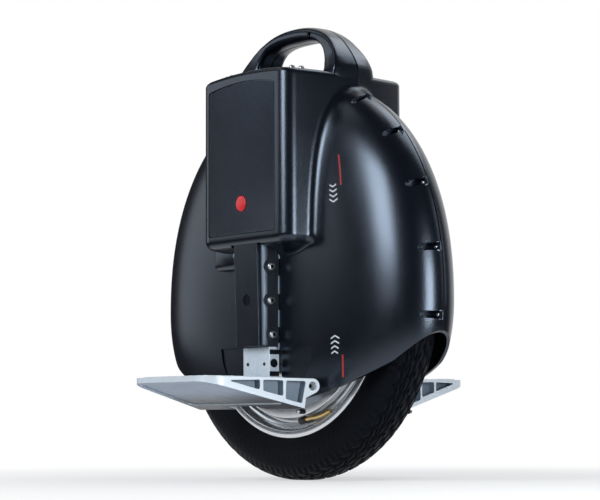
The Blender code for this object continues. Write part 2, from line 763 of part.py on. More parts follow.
def shell_half():
    """One half of the casing, before the cuts that differ from side to side."""
    cavity = shell_solid(SHELL_WALL, False)
    bosses = [
        cylinder("X", place, SEAM_BOSS_RADIUS, -2 * PAST, SEAM_BOSS_LENGTH, 8) for place in seam_screws()
    ]
    cavity = cut(cavity, joined(*bosses))
    shell = cut(shell_solid(0.0, True), cavity)
    shell = combined(shell, handle_solid(), "UNION")
    pockets = [
        cylinder("X", place, SEAM_POCKET_RADIUS, SEAM_POCKET_FLOOR, SHELL_HALF_WIDTH, 10)
        for place in seam_screws()
    ]
    floor = BLOCK_HALF_WIDTH - PAD_THICKNESS - GAP
    pad = prism(pad_outline(GAP), "X", floor, BLOCK_HALF_WIDTH + PAST)
    clear_y = FRAME_HALF_LENGTH + 2 * GAP
    clear_x = COVER_TOP_OUTER + GAP
    slot = box(
        (SHELL_HALF_WIDTH + GAP / 3, clear_x), (-clear_y, clear_y), (HINGE_BLOCK_TOP, FRAME_TOP + PAST)
    )
    inner, outer = SHELL_HALF_WIDTH - 3 * SHELL_WALL, SHELL_HALF_WIDTH + PAST
    notch = box((inner, outer), (-clear_y, clear_y), (SKIRT_LOW - 5 * PAST, TONGUE_TOP + PAST))
    axle = cylinder("X", (0, AXLE_HEIGHT), SHELL_AXLE_HOLE, inner, outer, AXLE_SIDES)
    screw = cylinder(
        "X",
        (HANDLE_SCREW_Y, GRIP_CENTRE + GRIP_HALF_HEIGHT + HANDLE_SCREW_RISE),
        HANDLE_SCREW_RADIUS,
        HANDLE_HALF_WIDTH - HANDLE_SCREW_DEPTH,
        HANDLE_HALF_WIDTH + PAST,
        16,
    )
    return cut(shell, joined(*pockets), pad, axle, slot, notch, screw)


def add_shells(looks):
    """The two casing halves, with the socket hole on the right and the button hole on the left."""
    left = shell_half()
    right = left.copy()
    low, high = BLOCK_TOP - 3 * SHELL_WALL, BLOCK_TOP + PAST
    place = (TOP_ITEM_X, 0)
    left = cut(left, cylinder("Z", place, BUTTON_RADIUS + GAP, low, high, 20))
    right = cut(right, cylinder("Z", place, SOCKET_RADIUS + GAP, low, high, 20))
    add_piece("shell_left", moved(left, (GAP / 2, 0, 0)), looks["shell"])
    add_piece("shell_right", moved(mirrored(right), (-GAP / 2, 0, 0)), looks["shell"])


def add_pads(looks):
    """Leg pads in their pockets, each with a badge in a hole."""
    low = BLOCK_HALF_WIDTH - PAD_THICKNESS + GAP / 2
    high = BLOCK_HALF_WIDTH + GAP / 2
    pad = prism(pad_outline(0), "X", low, high)
    hole = cylinder("X", BADGE_AT, BADGE_RADIUS + GAP, low - PAST, high + PAST, 24)
    add_pair("leg_pad", cut(pad, hole), looks["pad"])
    badge = cylinder("X", BADGE_AT, BADGE_RADIUS, low, high + BADGE_PROUD, 24)
    add_pair("badge", badge, looks["red"])


def add_columns(looks):
    """Frames on the axle, their covers, plugs, nuts and bolts."""
    inner = SHELL_HALF_WIDTH + GAP / 3 + GAP
    frame = box(
        (inner, FRAME_OUTER), (-FRAME_HALF_LENGTH, FRAME_HALF_LENGTH), (FRAME_BOTTOM, FRAME_TOP)
    )
    tongue = prism(
        [
            (TONGUE_INNER, TONGUE_BOTTOM),
            (TONGUE_OUTER, TONGUE_BOTTOM),
            (TONGUE_OUTER, FRAME_BOTTOM - PAST / 2),
            (inner + PAST, FRAME_BOTTOM - PAST / 2),
            (inner + PAST, TONGUE_TOP),
            (TONGUE_INNER, TONGUE_TOP),
        ],
        "Y",
        -TONGUE_HALF_LENGTH,
        TONGUE_HALF_LENGTH,
    )
    frame = combined(frame, tongue, "UNION")
    axle = (0, AXLE_HEIGHT)
    bore = cylinder("X", axle, AXLE_RADIUS + GAP, inner - PAST, FRAME_OUTER + PAST, AXLE_SIDES)
    recess = cylinder("X", axle, NUT_RECESS_RADIUS, NUT_SEAT, FRAME_OUTER + PAST, AXLE_SIDES)
    holes = []
    for place in FRAME_BOLTS:
        for side in (-1, 1):
            ends = sorted((side * (FRAME_HALF_LENGTH - BOLT_LENGTH - GAP), side * (FRAME_HALF_LENGTH + PAST)))
            holes.append(cylinder("Y", place, BOLT_SHANK_RADIUS + GAP, ends[0], ends[1], 8))
    frame = cut(frame, bore, recess, joined(*holes))
    add_pair("pedal_frame", frame, looks["frame"])
    for number, place in enumerate(FRAME_BOLTS, 1):
        for side, end in ((-1, "front"), (1, "rear")):
            add_pair(f"frame_bolt_{end}_{number}", bolt(place, side), looks["bolt"])
    low = FRAME_OUTER + GAP
    cover = prism(
        [
            (low, FRAME_BOTTOM),
            (COVER_BOTTOM_OUTER, FRAME_BOTTOM),
            (COVER_TOP_OUTER, FRAME_TOP),
            (low, FRAME_TOP),
        ],
        "Y",
        -COVER_HALF_LENGTH,
        COVER_HALF_LENGTH,
    )
    place = (0, PLUG_HEIGHT)
    hole = cylinder("X", place, PLUG_RADIUS + GAP, low - PAST, COVER_TOP_OUTER + PAST, 20)
    add_pair("column_cover", cut(cover, hole), looks["shell"])
    share = (PLUG_HEIGHT - FRAME_BOTTOM) / (FRAME_TOP - FRAME_BOTTOM)
    face = COVER_BOTTOM_OUTER + (COVER_TOP_OUTER - COVER_BOTTOM_OUTER) * share
    add_pair("column_plug", cylinder("X", place, PLUG_RADIUS, low, face, 20), looks["frame"])
    corner = NUT_ACROSS_FLATS / math.sqrt(3)
    nut = cylinder("X", axle, corner, NUT_SEAT + GAP, NUT_SEAT + GAP + NUT_HEIGHT, 6)
    hole = cylinder("X", axle, AXLE_RADIUS + GAP, NUT_SEAT, FRAME_OUTER, AXLE_SIDES)
    add_pair("axle_nut", cut(nut, hole), looks["steel"], (NUT_SEAT, 0, AXLE_HEIGHT))


def bolt(place, side):
    """A button-head bolt let into the front or rear face of a frame."""
    face = side * (FRAME_HALF_LENGTH + GAP)
    profile = [
        (face - side * BOLT_LENGTH, 0),
        (face - side * BOLT_LENGTH, BOLT_SHANK_RADIUS),
        (face, BOLT_SHANK_RADIUS),
        (face, BOLT_HEAD_RADIUS),
        (face + side * BOLT_HEAD_HEIGHT * 0.6, BOLT_HEAD_RADIUS * 0.85),
        (face + side * BOLT_HEAD_HEIGHT, BOLT_HEAD_RADIUS * 0.4),
        (face + side * BOLT_HEAD_HEIGHT, 0),
    ]
    return moved(revolve(profile, "Y", 8), (place[0], 0, place[1]))


def add_hinges(looks):
    """Hinge blocks bolted to the frames' tongues, with their cross pins and shafts."""
    inner = TONGUE_OUTER + GAP
    axis = (HINGE_X, HINGE_Z)
    top_turn = math.acos((HINGE_BLOCK_FRONT - HINGE_X) / HINGE_EYE_RADIUS)
    arc = [
        (HINGE_X + HINGE_EYE_RADIUS * math.cos(turn), HINGE_Z + HINGE_EYE_RADIUS * math.sin(turn))
        for turn in np.linspace(-math.pi / 2, top_turn, 9)
    ]
    top = HINGE_BLOCK_TOP
    outline = [(inner, HINGE_Z - HINGE_EYE_RADIUS)] + arc
    bevel = HINGE_BLOCK_BEVEL
    outline += [(HINGE_BLOCK_FRONT, top - bevel), (HINGE_BLOCK_FRONT - bevel, top), (inner, top)]
    half = HINGE_BLOCK_HALF_LENGTH
    block = prism(outline, "Y", -half, half)
    past = half + PAST
    shaft_hole = cylinder("Y", axis, HINGE_SHAFT_RADIUS + GAP, -past, past, HINGE_SIDES)
    pin_hole = cylinder("Y", HINGE_PIN_AT, HINGE_PIN_RADIUS + GAP, -past, past, HINGE_SIDES)
    add_pair("hinge_block", cut(block, joined(shaft_hole, pin_hole)), looks["bright"])
    reach = HINGE_PIN_HALF_LENGTH
    pin = cylinder("Y", HINGE_PIN_AT, HINGE_PIN_RADIUS, -reach, reach, HINGE_SIDES)
    add_pair("hinge_pin", pin, looks["bolt"])
    reach = HINGE_SHAFT_HALF_LENGTH
    shaft = cylinder("Y", axis, HINGE_SHAFT_RADIUS, -reach, reach, HINGE_SIDES)
    add_pair("hinge_shaft", shaft, looks["steel"], (HINGE_X, 0, HINGE_Z))


def pedal_side(x):
    """Half width of a pedal at a distance from the middle plane."""
    return PEDAL_HALF_WIDTH - PEDAL_TAPER * (x - HINGE_X)


def pedal_deck(x, _y=0):
    """Height of a pedal's flat top, which rises a little toward the tip."""
    share = (x - HINGE_X) / (PEDAL_REACH - HINGE_X)
    return HINGE_Z + PEDAL_BARREL_RADIUS + PEDAL_DECK_RISE * share


def pedal_plan(start, margin):
    """Plan outline of a pedal from a start line to the tip, drawn in by a margin."""
    end = PEDAL_REACH - margin
    near = pedal_side(start) - margin
    far = pedal_side(end) - margin
    corner = PEDAL_CORNER - margin
    outline = [(start, -near), (end, -far), (end, far), (start, near)]
    return rounded(outline, [0 if margin == 0 else 0.004, corner, corner, 0 if margin == 0 else 0.004], 5)


def pedal_profile():
    """Side outline of a pedal: hinge barrel, flat deck and a web that deepens toward the hinge."""
    away = Vector(PEDAL_WEB_BACK) - Vector((HINGE_X, HINGE_Z))
    turn = math.atan2(away.y, away.x) - math.acos(PEDAL_BARREL_RADIUS / away.length)
    barrel = [
        (HINGE_X + PEDAL_BARREL_RADIUS * math.cos(a), HINGE_Z + PEDAL_BARREL_RADIUS * math.sin(a))
        for a in np.linspace(turn, turn - (turn + 1.5 * math.pi), 8)
    ]
    tip = pedal_deck(PEDAL_REACH)
    outline = barrel + [(PEDAL_REACH, tip), (PEDAL_REACH, tip - PEDAL_TIP_THICKNESS)]
    return outline + [PEDAL_TIP_FOOT, PEDAL_WEB_FOOT, PEDAL_WEB_BACK]


def pedal_solid():
    """One pedal: plan outline and side outline, less its notch, bore, windows and grip pocket."""
    start = HINGE_X - PEDAL_BARREL_RADIUS - PAST
    low, high = PEDAL_WEB_FOOT[1] - PAST, pedal_deck(PEDAL_REACH) + PAST
    half = pedal_side(start) + PAST
    body = prism(pedal_plan(start, 0), "Z", low, high)
    body = combined(body, prism(pedal_profile(), "Y", -half, half), "INTERSECT")
    notch_y = (-PEDAL_NOTCH_HALF_WIDTH, PEDAL_NOTCH_HALF_WIDTH)
    notch = box((start - PAST, PEDAL_NOTCH_REACH), notch_y, (low, high))
    axis = (HINGE_X, HINGE_Z)
    bore = cylinder("Y", axis, HINGE_SHAFT_RADIUS + GAP, -half, half, HINGE_SIDES)
    depth = pedal_side(HINGE_X) - PEDAL_EYE_DEPTH
    eyes = joined(
        cylinder("Y", axis, PEDAL_EYE_RADIUS, depth, half, HINGE_SIDES),
        cylinder("Y", axis, PEDAL_EYE_RADIUS, -half, -depth, HINGE_SIDES),
    )
    windows = []
    for window in PEDAL_WINDOWS:
        corners = [(HINGE_X + out, HINGE_Z + up) for out, up in window]
        outline = rounded(corners, PEDAL_WINDOW_CORNER, 2)
        for side in (-1, 1):
            windows.append(
                prism(
                    outline,
                    "Y",
                    lambda x, _z, side=side: side * (pedal_side(x) - PEDAL_WINDOW_DEPTH),
                    lambda x, _z, side=side: side * (pedal_side(x) + PAST),
                )
            )
    pocket = prism(
        pedal_plan(GRIP_PAD_START - GAP, GRIP_PAD_MARGIN - GAP),
        "Z",
        lambda x, y: pedal_deck(x) - GRIP_PAD_SUNK - GAP,
        lambda x, y: pedal_deck(x) + PAST,
    )
    return cut(body, notch, bore, eyes, joined(*windows), pocket)


def add_pedals(looks):
    """Pedals and their grip pads, tied to an empty on each hinge."""
    left = add_axis("pedal_left_axis", (HINGE_X, 0, HINGE_Z))
    right = add_axis("pedal_right_axis", (-HINGE_X, 0, HINGE_Z))
    add_pair("pedal", pedal_solid(), looks["bright"], (HINGE_X, 0, HINGE_Z), (left, right))
    grip = prism(
        pedal_plan(GRIP_PAD_START, GRIP_PAD_MARGIN),
        "Z",
        lambda x, y: pedal_deck(x) - GRIP_PAD_SUNK,
        lambda x, y: pedal_deck(x) + GRIP_PAD_PROUD,
    )
    add_pair("pedal_grip", grip, looks["bright"], (HINGE_X, 0, HINGE_Z), (left, right))


def tyre_profile(shrink, steps, lowest):
    """Right half of the tyre's section from the crown down, as (x, radius)."""
    middle = TYRE_RADIUS - TYRE_SECTION / 2
    half = TYRE_SECTION / 2 - shrink[0]
    points = []
    for angle in np.linspace(math.radians(68), -math.radians(lowest), steps):
        x = (TYRE_HALF_WIDTH - shrink[1]) * math.cos(angle) ** (2 / TYRE_SQUARENESS)
        lift = math.copysign(abs(math.sin(angle)) ** (2 / TYRE_SQUARENESS), angle)
        points.append((x, middle + half * lift))
    return points


def crown_radius(x):
    """Radius of the tread at a distance from the tyre's middle."""
    share = 1 - (abs(x) / TYRE_HALF_WIDTH) ** TYRE_SQUARENESS
    return TYRE_RADIUS + TYRE_SECTION / 2 * (share ** (1 / TYRE_SQUARENESS) - 1)


def add_wheel(looks):
    """Tyre, tube, rim, hub motor and valve, which turn about the axle, and the axle itself."""
    centre = (0, 0, AXLE_HEIGHT)
    wheel = add_axis("wheel_axis", centre)
    bead = RIM_HALF_WIDTH - RIM_WALL - GAP
    seat = RIM_RADIUS - RIM_BAND + RIM_WALL + GAP
    groove = []
    for x, depth in (
        (GROOVE_OFFSET - GROOVE_WIDTH / 2, 0),
        (GROOVE_OFFSET - GROOVE_WIDTH / 4, GROOVE_DEPTH),
        (GROOVE_OFFSET + GROOVE_WIDTH / 4, GROOVE_DEPTH),
        (GROOVE_OFFSET + GROOVE_WIDTH / 2, 0),
    ):
        groove.append((x, crown_radius(x) - depth))
    outside = groove + tyre_profile((0, 0), 6, 50) + [(bead, RIM_RADIUS + GAP), (bead, seat)]
    inner_x = bead - TYRE_BEAD_WIDTH
    hollow = tyre_profile((TYRE_TREAD_WALL, TYRE_WALL), 4, 40)
    bead_top = RIM_RADIUS + TYRE_BEAD_RISE
    inside = [(inner_x, seat), (inner_x, bead_top)] + hollow[::-1]
    tyre = revolve(both_sides(outside + inside), "X", WHEEL_SIDES)
    add_wheel_piece("tyre", tyre, looks["tyre"], wheel)
    shoulder = RIM_RADIUS - RIM_BAND
    well = ROTOR_RADIUS + GAP
    rim_low = well + RIM_WELL_RISE
    floor = shoulder - RIM_SHOULDER
    rim_inside = [(RIM_WELL_HALF_WIDTH, well), (RIM_HALF_WIDTH - RIM_SHOULDER, rim_low)]
    rim_inside += [(RIM_HALF_WIDTH, shoulder), (RIM_HALF_WIDTH, RIM_RADIUS)]
    bed_x = inner_x - GAP
    rim_outside = [(bead + GAP, RIM_RADIUS), (bead + GAP, seat - GAP), (bed_x, seat - 4 * GAP)]
    rim_outside += [(bed_x - RIM_BED_RUN, floor)]
    rim = revolve(both_sides(rim_inside + rim_outside), "X", WHEEL_SIDES)
    add_wheel_piece("wheel_rim", rim, looks["bright"], wheel)
    tube = tyre_profile((TYRE_TREAD_WALL + 1.5 * GAP, TYRE_WALL + 1.5 * GAP), 4, 40)
    tube += [(bed_x, bead_top), (bed_x, seat), (bed_x - RIM_BED_RUN, floor + 2 * GAP)]
    tube = revolve(both_sides(tube), "X", WHEEL_SIDES)
    add_wheel_piece("inner_tube", tube, looks["rubber"], wheel)
    rotor_inner = ROTOR_RADIUS - ROTOR_WALL
    ring = [(ROTOR_HALF_WIDTH, rotor_inner), (ROTOR_HALF_WIDTH, ROTOR_RADIUS)]
    add_wheel_piece("rotor_ring", revolve(both_sides(ring), "X", WHEEL_SIDES), looks["steel"], wheel)
    cover = motor_cover_solid(rotor_inner)
    add_pair("motor_cover", moved(cover, centre), looks["bright"], centre, (wheel, wheel))
    for name, mesh, look in valve_solids():
        add_wheel_piece(name, mesh, looks[look], wheel)
    stator_out = rotor_inner - AIR_GAP
    stator = [
        (STATOR_HUB_HALF_WIDTH, AXLE_RADIUS + GAP),
        (STATOR_HUB_HALF_WIDTH, STATOR_HUB_RADIUS),
        (STATOR_WEB_HALF_WIDTH, STATOR_HUB_RADIUS),
        (STATOR_WEB_HALF_WIDTH, stator_out - STATOR_RING),
        (STATOR_HALF_WIDTH, stator_out - STATOR_RING),
        (STATOR_HALF_WIDTH, stator_out),
    ]
    stator = revolve(both_sides(stator), "X", MOTOR_SIDES)
    add_piece("stator", moved(stator, centre), looks["copper"], centre)
    low = bearing_inner_x()
    bearing = [
        (low, AXLE_RADIUS + GAP),
        (low + BEARING_WIDTH, AXLE_RADIUS + GAP),
        (low + BEARING_WIDTH, BEARING_RADIUS),
        (low, BEARING_RADIUS),
    ]
    add_pair("bearing", moved(revolve(bearing, "X", AXLE_SIDES), centre), looks["steel"], centre)
    end = NUT_SEAT + GAP + NUT_HEIGHT - PAST / 4
    axle = [(-end, 0), (-end, AXLE_RADIUS - 0.001), (-end + 0.001, AXLE_RADIUS)]
    axle += [(end - 0.001, AXLE_RADIUS), (end, AXLE_RADIUS - 0.001), (end, 0)]
    add_piece("axle", moved(revolve(axle, "X", AXLE_SIDES), centre), looks["steel"], centre)


def add_wheel_piece(name, mesh, look, wheel):
    """Add a piece drawn about the axle as centre."""
    centre = (0, 0, AXLE_HEIGHT)
    add_piece(name, moved(mesh, centre), look, centre, wheel)


def bearing_inner_x():
    """Inboard face of the wheel bearing, just outside the lip of the motor cover."""
    return ROTOR_HALF_WIDTH + 2 * GAP + COVER_RELIEF + BEARING_LIP_WALL


def motor_cover_solid(rotor_inner):
    """A stepped disc that closes the motor and holds a bearing."""
    inside = ROTOR_HALF_WIDTH + GAP
    deep = inside + COVER_RELIEF
    first = inside + COVER_EDGE_WALL
    steps = []
    for count, share in enumerate(COVER_STEP_SHARES):
        radius = share * COVER_EDGE_RADIUS
        x = first + count * COVER_STEP
        steps.append((x, radius))
        steps.append((x + COVER_STEP, radius - COVER_STEP_RUN))
    low = bearing_inner_x()
    seat = BEARING_RADIUS + GAP
    last = steps[-1][0]
    profile = [(inside, COVER_EDGE_RADIUS), (first, COVER_EDGE_RADIUS - PAST)] + steps
    profile += [(last, seat), (low - GAP, seat), (low - GAP, seat - BEARING_LIP)]
    relief = rotor_inner - AIR_GAP
    profile += [(deep, seat - BEARING_LIP), (deep, relief), (inside, relief)]
    return revolve(profile, "X", MOTOR_SIDES)


def valve_solids():
    """The bent valve stem that runs round the rim's groove, and its cap."""
    x = -(RIM_HALF_WIDTH + GAP)
    start = Vector((x, -math.sin(VALVE_ANGLE), -math.cos(VALVE_ANGLE)))
    start.yz *= VALVE_RING_RADIUS
    solids = []
    for name, radius, low, high, look in (
        ("valve_stem", VALVE_RADIUS, 0, VALVE_LENGTH, "brass"),
        ("valve_cap", VALVE_CAP_RADIUS, VALVE_LENGTH + GAP, VALVE_LENGTH + GAP + VALVE_CAP_LENGTH, "black"),
    ):
        bar = cylinder("Y", (0, 0), radius, low, high, 12)
        bar.transform(Matrix.Rotation(-VALVE_TILT, 4, "X"))
        solids.append((name, moved(bar, start), look))
    return solids


def add_inside(looks):
    """Batteries, wheel liner, heat sink, control board and motor cable."""
    outer = BLOCK_HALF_WIDTH - SHELL_WALL - GAP
    half = BATTERY_HALF_LENGTH
    outline = [(BATTERY_INNER, -half), (outer, -half), (outer, half), (BATTERY_INNER, half)]
    pack = prism(rounded(outline, BATTERY_EDGE, 2), "Z", BATTERY_BOTTOM, BATTERY_TOP)
    add_pair("battery", pack, looks["battery"])
    outside = LINER_RADIUS + LINER_WALL
    rim = LINER_RADIUS - LINER_DEPTH
    edge = LINER_HALF_WIDTH - LINER_SIDE_WALL
    bevel = LINER_BEVEL
    section = [(LINER_HALF_WIDTH - bevel, outside), (LINER_HALF_WIDTH, outside - bevel)]
    section += [(LINER_HALF_WIDTH, rim), (edge, rim), (edge, LINER_RADIUS - bevel)]
    section.append((edge - bevel, LINER_RADIUS))
    liner = revolve(both_sides(section), "X", 14, LINER_HALF_ANGLE)
    centre = (0, 0, AXLE_HEIGHT)
    add_piece("wheel_liner", moved(liner, centre), looks["black"], centre)
    low = AXLE_HEIGHT + outside + GAP
    sink = box((-outer, outer), (-SINK_HALF_LENGTH, SINK_HALF_LENGTH), (low, low + SINK_THICKNESS))
    add_piece("heat_sink", sink, looks["bright"])
    base = low + SINK_THICKNESS + GAP
    width, length = BOARD_HALF_WIDTH, BOARD_HALF_LENGTH
    board = box((-width, width), (-length, length), (base, base + BOARD_THICKNESS))
    near, far = width - BOARD_PART_MARGIN - BOARD_PART_WIDTH, width - BOARD_PART_MARGIN
    deep = (-length + BOARD_PART_MARGIN, length - BOARD_PART_MARGIN)
    for ends in ((-far, -near), (near, far)):
        part = box(ends, deep, (base, base + BOARD_PART_HEIGHT))
        board = combined(board, part, "UNION")
    add_piece("control_board", board, looks["board"])
    add_cable(looks["black"], base + BOARD_THICKNESS / 2)


def add_cable(look, board_height):
    """Motor cable from the axle up inside the left shell half to the control board."""
    away = AXLE_RADIUS + CABLE_RADIUS + GAP
    span = board_height - AXLE_HEIGHT
    stops = [
        Vector((CABLE_X, -AXLE_RADIUS - GAP - 0.001, AXLE_HEIGHT)),
        Vector((CABLE_X, -away - 0.018, AXLE_HEIGHT + 0.006)),
        Vector((CABLE_X, -CABLE_RUN_Y + 0.004, AXLE_HEIGHT + span * 0.28)),
        Vector((CABLE_X, -CABLE_RUN_Y, AXLE_HEIGHT + span * 0.60)),
        Vector((CABLE_X, -CABLE_RUN_Y, AXLE_HEIGHT + span * 0.86)),
        Vector((CABLE_X, -BOARD_HALF_LENGTH - 0.013, board_height - 0.004)),
        Vector((CABLE_X, -BOARD_HALF_LENGTH - 0.006, board_height + CABLE_RADIUS)),
        Vector((CABLE_X, -BOARD_HALF_LENGTH - 2 * GAP, board_height + CABLE_RADIUS)),
    ]
    route = smooth_route(stops, 2)
    curve = bpy.data.curves.new("motor_cable", "CURVE")
    curve.dimensions = "3D"
    curve.bevel_depth = CABLE_RADIUS
    curve.bevel_resolution = 2
    curve.use_fill_caps = True
    spline = curve.splines.new("POLY")
    spline.points.add(len(route) - 1)
    for point, spot in zip(spline.points, route):
        point.co = (*spot, 1)
    curve.materials.append(look)
    item = bpy.data.objects.new("motor_cable", curve)
    bpy.context.scene.collection.objects.link(item)


def smooth_route(stops, steps):
    """Points of a Catmull-Rom curve through the stops."""
    ends = [2 * stops[0] - stops[1]] + stops + [2 * stops[-1] - stops[-2]]
    route = []
    for index in range(1, len(ends) - 2):
        a, b, c, d = ends[index - 1 : index + 3]
        for step in range(steps):
            t = step / steps
            spot = 2 * b + (c - a) * t + (2 * a - 5 * b + 4 * c - d) * t * t
            route.append((spot + (3 * b - a - 3 * c + d) * t**3) / 2)
    route.append(stops[-1])
    return route


def add_top_items(looks):
    """Power button with its switch on the left, charge socket with its hinged cap on the right."""
    place = (TOP_ITEM_X, 0)
    ceiling = block_top(SWITCH_RADIUS) - SHELL_WALL - GAP
    bottom = BLOCK_TOP - SHELL_WALL - BUTTON_GUIDE + BUTTON_TRAVEL + GAP
    spot = (TOP_ITEM_X, 0, BLOCK_TOP)
    button = cylinder("Z", place, BUTTON_RADIUS, bottom, BLOCK_TOP + BUTTON_PROUD, 20)
    axis = add_axis("power_button_axis", spot)
    add_piece("power_button", button, looks["black"], spot, axis)
    switch = cylinder("Z", place, SWITCH_RADIUS, ceiling - SWITCH_HEIGHT, ceiling, 20)
    floor = bottom - BUTTON_TRAVEL - GAP
    well = cylinder("Z", place, BUTTON_RADIUS + GAP, floor, ceiling + PAST, 20)
    add_piece("power_switch", cut(switch, well), looks["black"], spot)
    top = BLOCK_TOP + SOCKET_PROUD
    place = (-TOP_ITEM_X, 0)
    socket = cylinder("Z", place, SOCKET_RADIUS, top - SOCKET_HEIGHT, top, 20)
    bore = cylinder("Z", place, SOCKET_BORE_RADIUS, top - SOCKET_BORE_DEPTH, top + PAST, 16)
    add_piece("charge_socket", cut(socket, bore), looks["black"], (-TOP_ITEM_X, 0, top))
    low = top + GAP
    hinge = (-TOP_ITEM_X, CAP_HINGE_OFFSET, low + CAP_HINGE_RADIUS)
    axis = add_axis("charge_cap_axis", hinge)
    cap = cylinder("Z", place, CAP_RADIUS, low, low + CAP_THICKNESS, 20)
    ends = (-TOP_ITEM_X - CAP_EAR_HALF_WIDTH, -TOP_ITEM_X + CAP_EAR_HALF_WIDTH)
    ear = box(ends, (CAP_RADIUS / 2, CAP_HINGE_OFFSET), (low, low + CAP_THICKNESS))
    barrel = cylinder("X", hinge[1:], CAP_HINGE_RADIUS, *ends, 12)
    cap = combined(combined(cap, ear, "UNION"), barrel, "UNION")
    add_piece("charge_cap", cap, looks["rubber"], hinge, axis)


def make_looks():
    """All materials by a short name."""
    return {
        "shell": material("charcoal_plastic", (0.035, 0.045, 0.06), 0.0, 0.6),
        "pad": material("textured_pad", (0.03, 0.04, 0.05), 0.0, 0.7),
        "black": material("black_plastic", (0.02, 0.02, 0.022), 0.0, 0.5),
        "rubber": material("black_rubber", (0.02, 0.02, 0.02), 0.0, 0.8),
        "tyre": material("tyre_rubber", (0.025, 0.025, 0.027), 0.0, 0.75),
        "bright": material("bright_aluminium", (0.75, 0.76, 0.78), 1.0, 0.3),
        "frame": material("dark_frame", (0.06, 0.07, 0.08), 0.6, 0.45),
        "bolt": material("bolt_steel", (0.35, 0.36, 0.38), 1.0, 0.35),
        "steel": material("steel", (0.5, 0.5, 0.52), 1.0, 0.3),
        "brass": material("brass", (0.7, 0.5, 0.25), 1.0, 0.3),
        "copper": material("copper_windings", (0.6, 0.3, 0.15), 0.8, 0.4),
        "red": material("red_badge", (0.6, 0.03, 0.03), 0.0, 0.35),
        "battery": material("battery_wrap", (0.05, 0.15, 0.35), 0.0, 0.5),
        "board": material("circuit_board", (0.03, 0.2, 0.08), 0.0, 0.5),
    }


def main():
    """Build the whole part."""
    clear_scene()
    looks = make_looks()
    add_shells(looks)
    add_pads(looks)
    add_columns(looks)
    add_hinges(looks)
    add_pedals(looks)
    add_wheel(looks)
    add_inside(looks)
    add_top_items(looks)


main()
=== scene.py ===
"""Looks of an electric unicycle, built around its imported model.

Lengths are in metres. X runs along the axle with the rider's right at -X, the front is at -Y, and Z is
up from the ground. Side pieces are worked out on the +X side and mirrored for the right side.
"""
import math

import bmesh
import bpy
import numpy as np
from bpy.props import FloatProperty, FloatVectorProperty, IntProperty, PointerProperty
from mathutils import Matrix, Vector


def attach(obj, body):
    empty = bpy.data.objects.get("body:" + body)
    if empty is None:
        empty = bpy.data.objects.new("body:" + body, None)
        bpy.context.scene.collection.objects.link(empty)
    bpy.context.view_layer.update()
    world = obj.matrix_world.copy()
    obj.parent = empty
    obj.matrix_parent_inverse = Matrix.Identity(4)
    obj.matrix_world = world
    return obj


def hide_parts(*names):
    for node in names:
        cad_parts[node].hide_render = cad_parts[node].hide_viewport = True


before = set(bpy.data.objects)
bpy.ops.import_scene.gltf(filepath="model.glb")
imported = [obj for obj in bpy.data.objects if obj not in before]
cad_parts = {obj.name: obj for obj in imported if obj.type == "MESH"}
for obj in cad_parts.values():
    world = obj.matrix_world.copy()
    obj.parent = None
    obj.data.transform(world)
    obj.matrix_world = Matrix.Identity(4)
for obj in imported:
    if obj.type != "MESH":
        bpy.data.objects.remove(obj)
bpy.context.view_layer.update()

bl_info = {
    "name": "Electric unicycle",
    "version": (1, 0, 0),
    "blender": (4, 5, 0),
    "location": "3D View > Sidebar > Unicycle",
    "description": "Builds the visible pieces and finishes of an electric unicycle",
    "category": "Add Mesh",
}

GAP = 0.0003
PAST = 0.002
SIDES = ("left", "right")

# Wheel.
TYRE_RADIUS = 0.2065
AXLE_HEIGHT = TYRE_RADIUS * math.cos(math.pi / 40)
TYRE_HALF_WIDTH = 0.027
TYRE_SECTION = 0.049
TYRE_SQUARENESS = 2.6
# Inside of the tyre from the bead up to the middle: distances from the middle, and radii.
TYRE_INSIDE = ((0.021, 0.0228, 0.021, 0.014, 0.006), (0.168, 0.181, 0.191, 0.1988, 0.2))
TREAD_EDGE = 0.0262
# Long grooves: distance from the middle, half width and sway.
TREAD_GROOVES = ((0.0046, 0.0010, 0.0008), (0.0108, 0.0012, 0.0011), (0.0170, 0.0012, 0.0010))
# Cuts between them: nearest and farthest distance from the middle, slant, and shift in pitches.
TREAD_CUTS = (
    (0.0, 0.0030, 60, 0.0),
    (0.0062, 0.0092, -90, 0.5),
    (0.0126, 0.0154, 90, 0.1),
    (0.0186, 0.0212, -60, 0.6),
)
# Shoulder slits by distance from the middle, side dashes by radius, and round side beads.
SHOULDER_SLITS = (0.0222, 0.0256)
SHOULDER_DEPTH = 0.0011
SIDE_DASHES = (0.1785, 0.1835)
DASH_RISE = 0.0006
SIDE_BEADS = ((0.1655, 0.0008), (0.1740, 0.0006))
BEAD_RISE = 0.0005
RIM_RADIUS = 0.159
RIM_HALF_WIDTH = 0.022
RIM_LIP = 0.0022
RIM_SEAT = 0.1515
WELL_RADIUS = 0.139
COVER_RADIUS = 0.137
COVER_INSIDE = 0.0173
COVER_EDGE = 0.0052
COVER_STEP = 0.0035
COVER_STEP_SHARES = (0.847, 0.672, 0.263)
# Middle line of the bent valve: distance outward from its plane beside the rim, y and z.
VALVE_STOPS = (
    (-0.004, -0.0668, 0.0768),
    (-0.001, -0.0632, 0.0742),
    (0.0003, -0.0586, 0.0719),
    (0.0006, -0.0500, 0.0700),
    (0.0006, -0.0410, 0.0691),
    (0.0006, -0.0322, 0.0674),
)
VALVE_RADIUS = 0.0026

